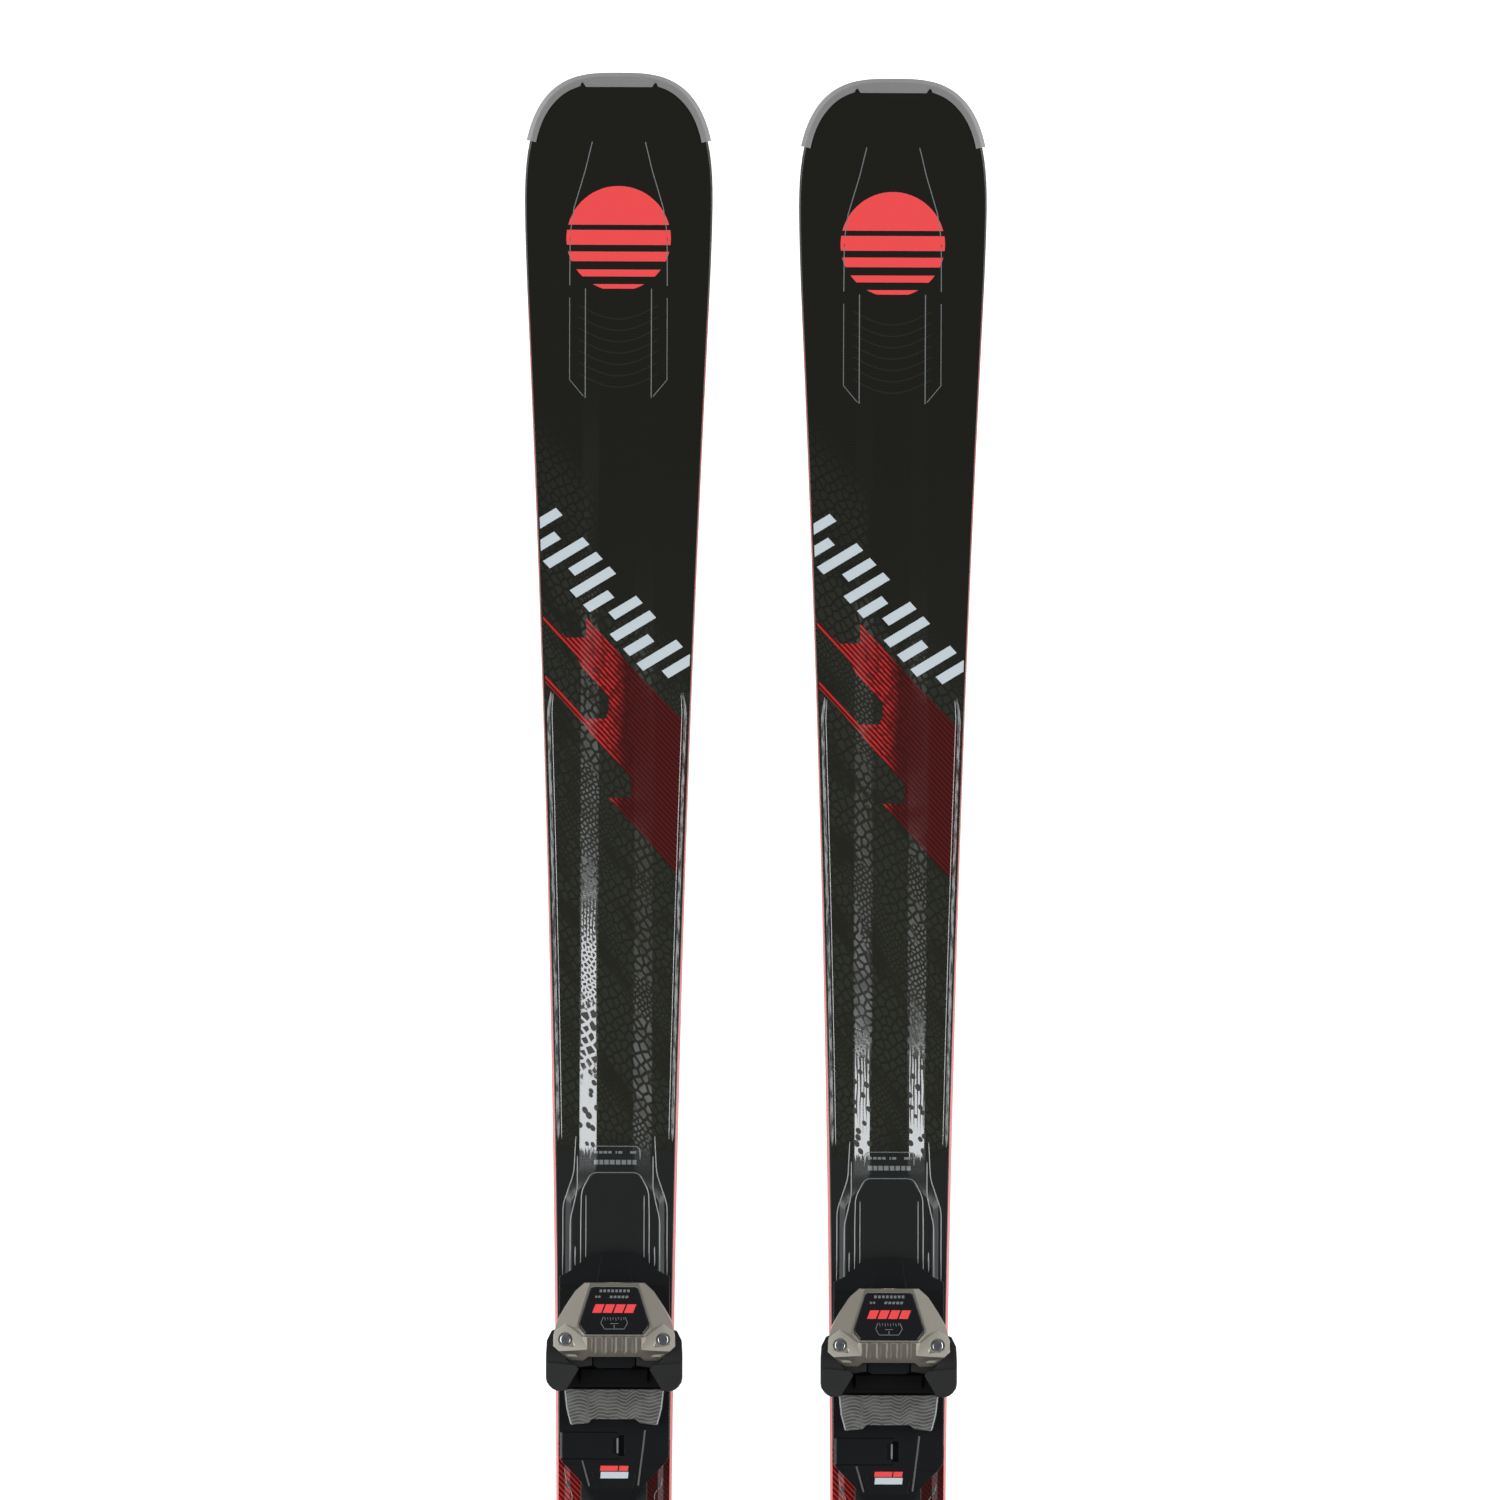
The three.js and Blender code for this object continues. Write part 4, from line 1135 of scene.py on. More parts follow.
# the shoulders' pale flecks are a painted highlight
place("edge_shoulders", shoulder(3.9, 2.2, 2.2, 0.42), "ski", "rail")
# the thin pale line inside each shoulder is a painted highlight
place("edge_lines", shoulder(6.2, 1.2, 0.6, 0.25), "ski", "rail_line")


def relief_lines():
    """The moulded outline where the deck rises to the binding, coloured grey as a painted highlight along
    its ridges.
    """
    arch = mirrored([(22.6, 222), (22.6, 258), (22.2, 276), (15.8, 288.2)])
    lines = [(arch[::-1], 0.8), ([(-16.4, 296), (-16.4, 305.6), (16.4, 305.6), (16.4, 296)], 0.7)]
    beside = [([(26, 313), (27.3, 288), (34.4, 267), (34.4, 220)], 0.8),
              ([(25, 300), (25, 277), (29.6, 257), (29.6, 220)], 0.8),
              ([(19.2, 274), (19.2, 226)], 0.7),
              ([(26.2, 240), (26.2, 226)], 1.0)]
    lines += [(flipped(points, s), width) for s in BOTH for points, width in beside]
    return joined(*[bead(line_points(points, 4.0), width, 0.35) for points, width in lines])


# grey painted highlight along the relief lines
place("relief_lines", relief_lines(), "ski", "line")


def relief_pockets():
    """Glossy teardrop pockets between the two outer lines."""
    outline = [(27.6, 288), (34, 268), (34, 222), (30, 222), (30, 257), (25.6, 277), (25.4, 290)]
    return pair_of_inlays(outline, top=0.06, step=3)


place("relief_pockets", relief_pockets(), "ski", "relief")


def label():
    """A small framed label whose words are plain bars."""
    strokes = []
    upper = [(-14, 2.6), (-10.6, 2.2), (-7.7, 2.4), (-4.6, 2.2), (0.2, 1.0), (2.0, 2.6), (9.8, 4.0)]
    lower = [(-14, 2.9), (-10.4, 2.5), (-7.2, 2.9), (-3.6, 3.2), (0.4, 3.0), (4.2, 3.0), (8.0, 2.6),
             (11.4, 2.6)]
    for y, tall, words in ((302.4, 1.6, upper), (296.6, 3.04, lower)):
        for x, width in words:
            strokes.append(inlay([(x, y), (x + width, y), (x + width, y - tall), (x, y - tall)]))
    return joined(*strokes)


place("label_bars", label(), "ski", "line")


def side_stripes():
    """Red line print on the deck either side of the toe base's rear end."""
    outline = [(34, 112), (34, 96), (20, 84), (20, 24), (38.5, 8), (39.5, 112)]
    return pair_of_inlays(outline, limit=1.9, step=6)


place("side_stripes", side_stripes(), "ski", "red")


def rear_outline():
    """A fine grey line with a small dark lozenge either side of the toe base's rear end."""
    lines, lozenges = [], []
    for path, (x, y) in (([(-33, 94.6), (-31.2, 82.9), (-27.6, 76.3), (-27.6, 60)], (-30, 82)),
                         ([(31.8, 88), (31.1, 81.4), (26.7, 76.3), (26.7, 60)], (29.2, 81.4))):
        lines.append(bead(line_points(path, 2.0), 0.7, 0.3))
        lozenge = [(x - 0.6, y - 3.4), (x + 1.5, y - 0.4), (x + 0.6, y + 3.4), (x - 1.5, y + 0.4)]
        lozenges.append(inlay(lozenge, 0.12, step=3))
    return joined(*lines), joined(*lozenges)


outline_lines, outline_lozenges = rear_outline()
place("rear_outline", outline_lines, "ski", "line")
place("rear_lozenges", outline_lozenges, "ski", "relief")

# ---- tracks ----------------------------------------------------------------------------------------------

RAIL_HALF, RAIL_BOTTOM, RAIL_TOP = 22.0, 20.3, 26.0


def track(low, high, notches):
    rail = bevel(box((-RAIL_HALF, RAIL_HALF), (low, high), (RAIL_BOTTOM, RAIL_TOP)), 0.8, 2)
    slots = [bevel(box((-8, 8), (y, y + 5), (RAIL_TOP - 2, RAIL_TOP + 3)), 0.4, 1) for y in notches]
    rail = cut(rail, *slots)
    screws = [rod((x, y, RAIL_TOP - 0.6), (x, y, RAIL_TOP + 0.25), 4.2) for x, y in
              [(sx * 15, low + (high - low) * t) for sx in (-1, 1) for t in (0.12, 0.88)]]
    return joined(rail, *[bevel(s, 0.25, 1) for s in screws])


place("front_rail", track(30, 214, [34, 46, 58]), "ski", "track", "front_track")
place("rear_rail", track(-306, -66, [-80, -92]), "ski", "track", "rear_track")

# ---- toe piece -------------------------------------------------------------------------------------------

SEAT_Z = RAIL_BOTTOM + 0.35  # the undersides of the toe and heel bases
TOE_FLOOR = 34.0
TOE_AXIS = 51.0
PIVOT_X, PIVOT_Y = 32.2, 179.0
CHANNEL = (RAIL_HALF + 0.35, RAIL_TOP + 0.35)


def channel(low, high):
    half, top = CHANNEL
    return box((-half, half), (low, high), (0, top))


def toe_base():
    """The toe's base as two meshes: the shell, and the step behind the wings, which is near-black as painted
    shade.
    """
    plan = mirrored([(14.8, 235.2), (20, 232), (25.2, 225.6), (31, 222.5), (36.3, 219.8), (36.3, 101),
                     (34, 97), (21.5, 84), (16, 75), (12, 70)])
    side = [(237, SEAT_Z), (237, 27.8), (226, 31.4), (217.5, TOE_FLOOR), (80, TOE_FLOOR), (68, 27.5),
            (68, SEAT_Z)]
    body = common(prism("Z", plan, 0, 60), prism("X", side, -60, 60))
    # facets that fall away beside a raised spine at both ends
    front = [(242, 28.9), (242, 44), (213, 44), (213, 34.4), (217.5, 33.2), (226, 30.8), (237, 27.4)]
    rear = [(62, 26.5), (62, 44), (96, 44), (96, 34.2), (80, 33.2), (68, 27.0)]
    for s in BOTH:
        for outline, near, spine, spread in ((front, 213, 12.2, -0.17), (rear, 96, 15.6, 0.2)):
            def lean(x, y, z):
                return (s * (x + spine + (y - near) * spread), y, z - x * 0.11 * (z < 40))
            body = cut(body, shear(prism("X", outline, 0, 40), lean))
    body = cut(body, channel(60, 240))
    body = cut(body, box((-40, 3.4), (99.2, 117.2), (29.9, 40)), box((3, 7), (101.5, 115), (29, 40)))
    # the step in front of the glide plate, near-black as painted shade, and the wall between the wings
    step = prism("Z", mirrored([(31, 168.4), (31, 150), (28.6, 146.8)]), TOE_FLOOR - 1, 42.4)
    ledge = prism("X", [(159, 42), (151.5, 42), (149.5, 43.6), (153, 44.4), (159, 44.8)], -22, 22)
    wall = prism("Z", mirrored([(13.8, 168.4), (13.8, 161.6), (11, 159.8)]), 41, 58)
    body = bevel(union(body, wall), 0.8, 2, 20)
    bosses = []
    for s in BOTH:
        boss = rod((s * PIVOT_X, PIVOT_Y, TOE_FLOOR - 1), (s * PIVOT_X, PIVOT_Y, 46), 5.6)
        bosses.append(bevel(boss, 0.6, 2))
    ribs = [tube([(-21.0, 98.4, 33.6), (-18.6, 90, 33.5), (-16.2, 81.5, 33.4)], 0.8),
            tube([(20.4, 118.5, 33.6), (19.3, 108, 33.6), (16.0, 82, 33.4)], 0.8)]
    return joined(body, *bosses, *ribs), joined(bevel(step, 0.6, 2), bevel(ledge, 0.5, 2))


base_shell, base_step = toe_base()
place("toe_base_shell", base_shell, "toe_piece", "black", "toe_base", smooth_angle=26)
# the step is painted near-black as the shade between the wings
place("toe_base_step", base_step, "toe_piece", "painted_shade_cavity")


def trim(mesh, at, normal):
    """A closed mesh without what lies on a plane's upper side, and with the cut closed."""
    bm = bmesh.new()
    bm.from_mesh(mesh)
    done = bmesh.ops.bisect_plane(bm, geom=bm.verts[:] + bm.edges[:] + bm.faces[:], dist=1e-6,
                                  plane_co=Vector(at) * MM, plane_no=Vector(normal).normalized(),
                                  clear_outer=True)
    edges = [e for e in done["geom_cut"] if isinstance(e, bmesh.types.BMEdge)]
    bmesh.ops.contextual_create(bm, geom=edges)
    bmesh.ops.recalc_face_normals(bm, faces=bm.faces)
    bm.to_mesh(mesh)
    bm.free()
    return mesh


def plane_through(a, b, c):
    """A point and an upward normal of the plane through three points."""
    a, b, c = Vector(a), Vector(b), Vector(c)
    normal = (b - a).cross(c - a).normalized()
    return a, normal if normal.z > 0 else -normal


def screw_seat(s):
    """A cutter for a level seat round a pivot screw, with a slanting wall on its inner side."""
    outline = [(33.8, 190.4), (44, 196), (48, 160), (24, 160), (17.6, 171.4), (20.6, 180.4)]
    half_way = 80

    def rule(x, y, z):
        if z > half_way:
            return s * (x - 5.6), y + 7.4, z
        return s * x, y, z - 0.07 * (x - 30)
    return shear(prism("Z", outline, 70.4, 95), rule)


def toe_housing():
    """The bronze cover, a prism cut down by its facets and hollowed."""
    plan = mirrored([(19.6, 216), (26, 210.2), (32.7, 200), (37.7, 191), (40, 182), (40.2, 174.5),
                     (30.5, 165.6), (26, 163.8), (21.3, 164), (17, 167.4)])
    facets = [((0, 183, 78.9), (0, 17, 31)),  # carries the window
              ((0, 180.4, 79.0), (0, -8.6, 9)),  # fluted, behind it
              ((0, 180, 79.2), (0, 0, 1)),  # the level top
              ((0, 171.6, 70.6), (0, -9, 6)),
              ((0, 216.4, 60.4), (0, 12, 4))]
    for s in BOTH:
        facets.append(plane_through((s * 16.6, 213.5, 62.2), (s * 25.2, 186, 77.2), (s * 34.4, 198, 62.6)))
        facets.append(((s * 40, 182, 69.4), (s * 6, 0.6, 2.2)))
    body = prism("Z", plan, 34.3, 90)
    for at, normal in facets:
        body = trim(body, at, normal)
    for s in BOTH:
        body = cut(body, screw_seat(s))
    body = cut(body, box((-60, 60), (150, 189), (20, 60.3)))
    body = bevel(body, 0.7, 3, 14)
    cutters = [rod((s * PIVOT_X, PIVOT_Y, 68.2), (s * PIVOT_X, PIVOT_Y, 90), 4.7) for s in BOTH]
    hollow = [(32, 183.4), (36.4, 180), (36.6, 175.6), (26.6, 173.8), (25.8, 175.6)]
    dimple = [(33.4, 169.6), (30.2, 167.2), (26.2, 166.4), (24.2, 167.8), (26, 169.2)]
    for s in BOTH:
        cutters += [bevel(prism("Z", flipped(hollow, s), 69.0, 90), 0.5, 2),
                    bevel(prism("Z", flipped(dimple, s), 64.6, 90), 0.4, 2)]
    # open flutes down the rear slope
    for x in (-13.2, -6.6, 0.0, 6.6, 13.2):
        cutters.append(rod((x, 186, 86.6), (x, 168, 69.4), 2.5, 24))
    cutters.append(rod((0, 211, TOE_AXIS), (0, 225, TOE_AXIS), 6.2))
    return cut(body, *cutters)


place("toe_cover", toe_housing(), "toe_piece", "bronze", "toe_housing", smooth_angle=20)

WINDOW_SLOPE = -math.degrees(math.atan2(79 - 62, 214 - 183))
WINDOW_AT = (0, 183, 79)


def on_window(mesh):
    """From the window's own plane, x across and y up the slope, onto the toe housing."""
    return turned(mesh, WINDOW_AT, WINDOW_SLOPE)


def window():
    plan = mirrored([(14.2, 34.0), (15.6, 33.2), (23, 7), (22.4, 4.2), (18.9, -0.8)])
    slab = bevel(prism("Z", plan, -1.2, 1.5), 0.9, 3)
    return on_window(slab)


def window_frame():
    outer = mirrored([(15.6, 35.0), (17.2, 34.2), (24.7, 7.2), (23.9, 3.2), (19.6, -2.0)])
    inner = mirrored([(14.2, 34.2), (15.7, 33.3), (23.2, 7.0), (22.6, 4.0), (19.0, -1.0)])
    ring = cut(prism("Z", outer, -1.6, 1.1), prism("Z", inner, -4, 4))
    return on_window(bevel(ring, 0.35, 2))


place("window_glass", window(), "toe_piece", "black_gloss", "toe_window")
place("window_rim", window_frame(), "toe_piece", "bronze")


def window_shape(points):
    """A mark that stands a hair above the window."""
    return on_window(prism("Z", points, 1.2, 1.56))


def slanted(x, y, width, tall, lean=0.35):
    return [(x, y), (x + width, y), (x + width + lean * tall, y + tall), (x + lean * tall, y + tall)]


def window_marks():
    red = [window_shape(slanted(x, 14.6, 5.9, 6.4)) for x in (-14.6, -7.6, -0.6, 6.4)]
    grey = [window_shape(slanted(-9.8 + i * 2.6, 30.0, 1.7, 2.0, 0)) for i in range(8)]
    grey += [window_shape(slanted(x, 25.6, 1.8, 1.8, 0.2)) for x in (-3.2, -0.6, 2.0, 4.6, 7.2)]
    grey += [window_shape(slanted(x, 25.8, 1.4, 1.5, 0)) for x in (-12.6, -10.6)]
    return joined(*red), joined(*grey)


red_marks, grey_marks = window_marks()
place("window_bars", red_marks, "toe_piece", "coral")
place("window_ticks", grey_marks, "toe_piece", "line")


def scale_dial():
    """The release scale under the window: a six-sided frame with graduations and a pointer."""
    def strip(a, b, w):
        a, b = Vector(a), Vector(b)
        n = Vector((-(b - a).y, (b - a).x)).normalized() * w / 2
        return window_shape([tuple(a + n), tuple(a - n), tuple(b - n), tuple(b + n)])
    outline = [(-7.2, 11.6), (-8.8, 7.0), (-6.4, 2.6), (6.4, 2.6), (8.8, 7.0), (7.2, 11.6)]
    parts = [strip(a, b, 0.42) for a, b in zip(outline, outline[1:])]
    for i in range(8):
        x = -6.2 + i * 1.77
        parts.append(strip((x, 11.4), (x + 0.3, 9.7 if i % 2 else 8.9), 0.36))
    parts.append(strip((-2.6, 6.6), (2.6, 6.6), 0.4))
    parts.append(strip((0, 5.6), (0, 3.2), 0.5))
    return joined(*parts)


place("release_scale", scale_dial(), "toe_piece", "line")


def pivot_screw(side):
    x, top = side * PIVOT_X, 71.0
    head = bevel(rod((x, PIVOT_Y, 66.8), (x, PIVOT_Y, top), 3.6, 40), 0.9, 3)
    for turn in (20, 110):
        slot = box((-1.9, 1.9), (-0.5, 0.5), (-1.8, 2))
        head = cut(head, turned(slot, (x, PIVOT_Y, top), turn, "Z"))
    socket = cut(head, rod((x, PIVOT_Y, 69.0), (x, PIVOT_Y, 73), 0.9, 20))
    return joined(socket, rod((x, PIVOT_Y, 30), (x, PIVOT_Y, 66.9), 3.0))


place("pivot_bolt_l", pivot_screw(-1), "toe_piece", "bolt", "wing_screw_l")
place("pivot_bolt_r", pivot_screw(1), "toe_piece", "bolt", "wing_screw_r")


def wing(s):
    """A toe wing: an arm under the housing, a swept outer ear and the lip that holds the sole down."""
    low = 46.5
    arm = [(25, 186.4), (33, 187.8), (41.4, 184.3), (44.5, 178), (45, 170), (45, 160), (26, 160),
           (14.7, 161.6), (14.7, 170), (24, 173)]
    ear = [(40, 178), (44, 177), (45, 168), (45, 153.4), (44.4, 150.6), (42.3, 147.6), (40.2, 145.9),
           (37.8, 144.9), (34.5, 144.7), (28.6, 157.5), (28.6, 161.5)]
    lip = [(44.2, 163.6), (44.4, 152.6), (43.6, 150.2), (41.6, 147.8), (37.6, 145.4), (31.9, 145),
           (23.5, 159), (25.5, 161.8)]
    body = union(prism("Z", flipped(arm, s), low, 59.8), prism("Z", flipped(ear, s), low, 64.2))
    top = prism("Z", flipped(lip, s), 62.8, 67.3)

    def slope_off(x, y, z):
        fall = 0.16 * max(0, abs(x) - 34) + 0.04 * (162 - y)
        return x, y, z - fall if z > 65 else z
    body = union(body, shear(top, slope_off))
    body = cut(body, rod((s * PIVOT_X, PIVOT_Y, 40), (s * PIVOT_X, PIVOT_Y, 70), 3.4))
    return bevel(body, 0.8, 2, 20)


place("wing_arm_l", wing(-1), "wing_left", "wing", "toe_wing_l", smooth_angle=24)
place("wing_arm_r", wing(1), "wing_right", "wing", "toe_wing_r", smooth_angle=24)


def glide_plate():
    plan = mirrored([(32.8, 145.6), (31.4, 132.7), (28.4, 121.9), (17, 123.2), (14.3, 125.8)])
    face = mirrored([(26, 44), (33.4, 42.6), (34, 41.6), (34, 34.3)])
    body = common(prism("Z", plan, 0, 90), prism("Y", face, 100, 180))
    return bevel(body, 0.6, 2, 24)


def glide_rim():
    """A bright lip along each side of the glide plate."""
    return joined(*[tube([(s * 32.3, 145, 42.95), (s * 31.0, 133, 43.15), (s * 28.3, 122.6, 43.6)], 0.55)
                    for s in BOTH])


place("glide_pad", glide_plate(), "glide", "glide", "glide_plate", smooth_angle=24)
place("glide_pad_lips", glide_rim(), "glide", "line")


def latch():
    """The latch flap beside the glide plate, hinged at its left end."""
    x0, z, t = -33.8, 32.2, 1.75
    flap = box((x0, 3), (99.6, 116.8), (z - t, z + t))
    flap = union(flap, rod((x0, 99.6, z), (x0, 116.8, z), t, 24))
    flap = cut(flap, box((-1, 4), (103, 113.4), (z + 0.6, z + 3)))
    return bevel(flap, 0.45, 2, 30)


place("toe_flap", latch(), "front_latch", "black", "toe_latch")
place("toe_flap_end", joined(bevel(box((1.7, 2.9), (103.2, 113.2), (31.2, 33.9)), 0.3, 2),
                             bevel(box((-3.2, -0.6), (116.0, 116.7), (32.2, 33.9)), 0.2, 1)),
      "front_latch", "line")


def plate_mark(*rows):
    """Small bars printed on the level top of the toe base."""
    return joined(*[prism("Z", slanted(x, y, w, h, 0.4 / h), TOE_FLOOR - 0.3, TOE_FLOOR + INK_TOP)
                    for x, y, w, h in rows])


red_mark = plate_mark((-9.2, 91.5, 11.6, 3.4), (3.2, 91.5, 6.0, 3.4))
place("base_mark_red", red_mark, "toe_piece", "coral")
place("base_mark_white", plate_mark((-9.0, 86.6, 18.2, 4.3)), "toe_piece", "pale")


def toe_inner():
    """The pull link and rod seen through the gap behind the wings."""
    bar = bevel(box((-12, 12), (172, 180), (46.5, 56)), 0.8, 2)
    return joined(bar, rod((0, 179, TOE_AXIS), (0, 203, TOE_AXIS), 3.0))


place("pull_link", toe_inner(), "toe_piece", "steel", "toe_link")


def coil_mesh(x, z, radius, wire, low, high, turns, steps=22):
    count = turns * steps
    points = []
    for i in range(count + 1):
        a = i / steps * 2 * math.pi
        y = lerp(low + wire, high - wire, i / count)
        points.append((x + radius * math.cos(a), y, z + radius * math.sin(a)))
    return tube(points, wire)


place("toe_coil", coil_mesh(0, TOE_AXIS, 6.6, 1.4, 181, 203.4, 4), "toe_piece", "steel",
      "toe_spring")


def slotted_screw(y_back, y_face, radius, z, slot_half, slot_width):
    outward_sign = 1 if y_face > y_back else -1
    body = bevel(rod((0, y_back, z), (0, y_face, z), radius, 40), 0.6, 2)
    ends = (y_face - outward_sign * 1.6, y_face + outward_sign * 2)
    return cut(body, box((-slot_half, slot_half), ends, (z - slot_width, z + slot_width)))


place("toe_setting_screw", slotted_screw(203.8, 215.1, 4.95, TOE_AXIS, 3.6, 0.8), "toe_adjuster",
      "bolt", "toe_release_screw")

# ---- heel piece ------------------------------------------------------------------------------------------

HEEL_SPRING_Z = 65.0
LEVER_AT, LEVER_TILT = (0, -224, 84), -40.0
BRAKE_Y, BRAKE_Z = -92.0, 30.0  # the brake's axis
WIRE_R, WIRE_HOLE = 2.5, 2.85
PIN_R, PIN_HOLE = 2.98, 3.35  # of the heel axle
SOLE_Z = 44.0


def heel_base():
    """The carriage: a deck with the boot rest, the axle's cheeks and the brake's lugs."""
    plan = mirrored([(22, -101), (32, -103), (34, -108), (34, -262), (31, -270), (22, -286)])
    body = prism("Z", plan, SEAT_Z, 31)
    pad = prism("Z", mirrored([(24, -116), (30, -121), (30, -145.5)]), 30, SOLE_Z)
    body = union(body, pad)
    cheek = [(-196, 30), (-200, 38), (-214, 57), (-248, 57), (-252, 44), (-254, 30)]
    lug = [(-101.5, 36), (-99, 37), (-88, 37), (-86, 35), (-86, 26), (-88, 24), (-101.5, SEAT_Z),
           (-109, SEAT_Z), (-109, 30)]
    for s in BOTH:
        body = union(body, prism("X", cheek, s * 28, s * 34), prism("X", lug, s * 28, s * 34))
    body = cut(body, channel(-300, -80))
    body = cut(body, box((-15.4, 15.4), (-290, -266), (27.9, 40)))
    body = cut(body, cross_hole(CUP_Y, CUP_Z, PIN_HOLE), cross_hole(BRAKE_Y, BRAKE_Z, WIRE_HOLE, 24))
    # weight-saving pockets along the deck's sides
    for s in BOTH:
        for y in (-176, -188):
            body = cut(body, box((s * 31 - 1.4, s * 31 + 1.4), (y - 4, y + 4), (29, 40)))
    return bevel(body, 0.8, 2, 24)


place("heel_base_shell", heel_base(), "heel_carriage", "black", "heel_base",
      smooth_angle=26)


def pad_grip():
    """A grippy insert on the boot rest, with cross ribs."""
    slab = bevel(prism("Z", mirrored([(22, -119), (26, -123), (26, -142.5)]), 43.2, 44.12), 0.3, 2)
    ribs = [tube([(-21, y, 44.05), (21, y, 44.05)], 0.55, 6) for y in (-124, -128.5, -133, -137.5)]
    return joined(slab, *ribs)


place("heel_rest_grip", pad_grip(), "heel_carriage", "glide")


CROWN = [(-144, 80), (-149, 85.2), (-158, 91), (-178, 96.6), (-196, 99), (-210, 98.4), (-222, 95)]


def heel_housing():
    """The cup that holds the boot's heel, with the spring's bore through it."""
    side = [(-144, 75.5), *CROWN, (-236, 87.6), (-246, 79.4), (-250, 68), (-251, 60), (-248.4, 50),
            (-243, 40.5), (-238, 36), (-232, 34.1), (-172, 34.1), (-166, 45.5), (-147, 45.5), (-147, 48.5),
            (-161, 52), (-161, 73)]
    face = mirrored([(12, 100), (17.6, 97), (22, 92), (25.6, 84), (27, 78), (27, 30)])
    body = common(prism("X", side, -60, 60), prism("Y", face, -260, -140))
    for s in BOTH:
        body = cut(body, box((s * 18.4, s * 60), (-260, -204), (71, 120)))
    body = cut(body, rod((0, -129, 51.5), (0, -129, 74), 33.5, 64))
    body = cut(body, rod((0, -260, HEEL_SPRING_Z), (0, -176, HEEL_SPRING_Z), 10.4, 40))
    body = cut(body, cross_hole(CUP_Y, CUP_Z, PIN_HOLE), cross_hole(LEVER_AT[1], LEVER_AT[2], PIN_HOLE))
    # shallow side panels
    panel = [(-170, 56), (-176, 74), (-198, 74), (-206, 62), (-200, 50), (-176, 50)]
    for s in BOTH:
        body = cut(body, prism("X", panel, s * 26.2, s * 30))
    return bevel(body, 1.1, 3, 22)


place("heel_cover", heel_housing(), "heel_cup", "bronze", "heel_housing", smooth_angle=22)


def heel_crown(y):
    """Height of the heel housing's crown."""
    for (y0, z0), (y1, z1) in zip(CROWN, CROWN[1:]):
        if y1 <= y <= y0:
            return lerp(z0, z1, (y - y0) / (y1 - y0))
    return CROWN[-1][1]


def crown_strip(points, steps):
    """A strip over the crown between two lines, cut fine enough to follow it."""
    (xa, xb), (ya, yb) = points
    rows = [ya + (yb - ya) * i / steps for i in range(steps + 1)]
    corners = [(xa, -1.4), (xb, -1.4), (xb, 0.8), (xa, 0.8)]
    return loft([[(x, y, heel_crown(y) + z) for x, z in corners] for y in rows])


def heel_panel():
    """A gloss insert over the crown."""
    rows = [lerp(-152.5, -202, i / 24) for i in range(25)]
    sections = []
    for y in rows:
        half = 9.5 + 4.6 * smooth(y, -152, -172) - 3.0 * smooth(y, -192, -202)
        corners = [(-half, -1.6), (half, -1.6), (half, 0.35), (half - 0.6, 0.8), (-half + 0.6, 0.8),
                   (-half, 0.35)]
        sections.append([(x, y, heel_crown(y) + z) for x, z in corners])
    return loft(sections)


place("heel_panel", heel_panel(), "heel_cup", "black_gloss")


def heel_marks():
    """Three plain slanted bars on the panel."""
    bars = [crown_strip(((x, x + 4.6), (-175, -180)), 4) for x in (-8.3, -2.5, 3.3)]
    return joined(*[shear(b, lambda x, y, z: (x + (y + 176) * 0.25, y, z + INK_TOP)) for b in bars])


place("heel_bars", heel_marks(), "heel_cup", "coral")


def lever():
    """Drawn level with its axle at zero, then put in place."""
    arm = [(5.5, -5), (7.4, 0), (6, 4), (-2, 8.5), (-16, 9.2), (-30, 9), (-34, -2), (-24, -5), (-8, -6)]
    paddle = [(-24, 9), (-27.4, -3.6), (-31, -5.4), (-46, -6), (-56, -3), (-61.4, 0), (-63, 3.6), (-60, 7.2),
              (-50, 9.2), (-36, 9.6)]
    outline = mirrored([(21, -22), (25, -26), (25, -50), (21, -60), (13, -66)])
    body = common(prism("X", paddle, -25, 25), prism("Z", outline, -30, 40))
    for s in BOTH:
        body = union(body, prism("X", arm, s * 18.9, s * 25))
        low, high = sorted((s * 15, s * 19.5))
        body = union(body, rod((low, 0, 0), (high, 0, 0), 3.0, 24))
    body = cut(body, rod((0, -44, 2.5), (0, -44, 20), 11, 40, 13))
    body = bevel(body, 0.9, 3, 24)
    rib = tube([(-16, -57.2, 7.9), (16, -57.2, 7.9)], 0.8)
    return turned(joined(body, rib), LEVER_AT, LEVER_TILT)


place("opening_paddle", lever(), "opening_lever", "black", "heel_lever",
      smooth_angle=26)


def lever_ring():
    ring = cut(rod((0, -44, 8.7), (0, -44, 9.7), 13.8, 48), rod((0, -44, 5), (0, -44, 20), 11.9, 48))
    return turned(bevel(ring, 0.3, 2), LEVER_AT, LEVER_TILT)


place("paddle_ring", lever_ring(), "opening_lever", "bronze")


def axle():
    bar = bevel(rod((-35.4, CUP_Y, CUP_Z), (35.4, CUP_Y, CUP_Z), PIN_R, 28), 0.5, 2)
    heads = [rod((s * 34.3, CUP_Y, CUP_Z), (s * 35.45, CUP_Y, CUP_Z), 4.6, 28) for s in BOTH]
    return joined(bar, *[bevel(head, 0.35, 2) for head in heads])


place("heel_pin", axle(), "heel_carriage", "bolt", "heel_axle")
place("heel_coil", coil_mesh(0, HEEL_SPRING_Z, 8, 1.7, -241, -178, 7, 18), "heel_cup",
      "steel", "heel_spring")
place("heel_setting_screw", slotted_screw(-242, -252.4, 9.35, HEEL_SPRING_Z, 6.5, 1.0), "heel_adjuster",
      "bolt", "heel_release_screw")


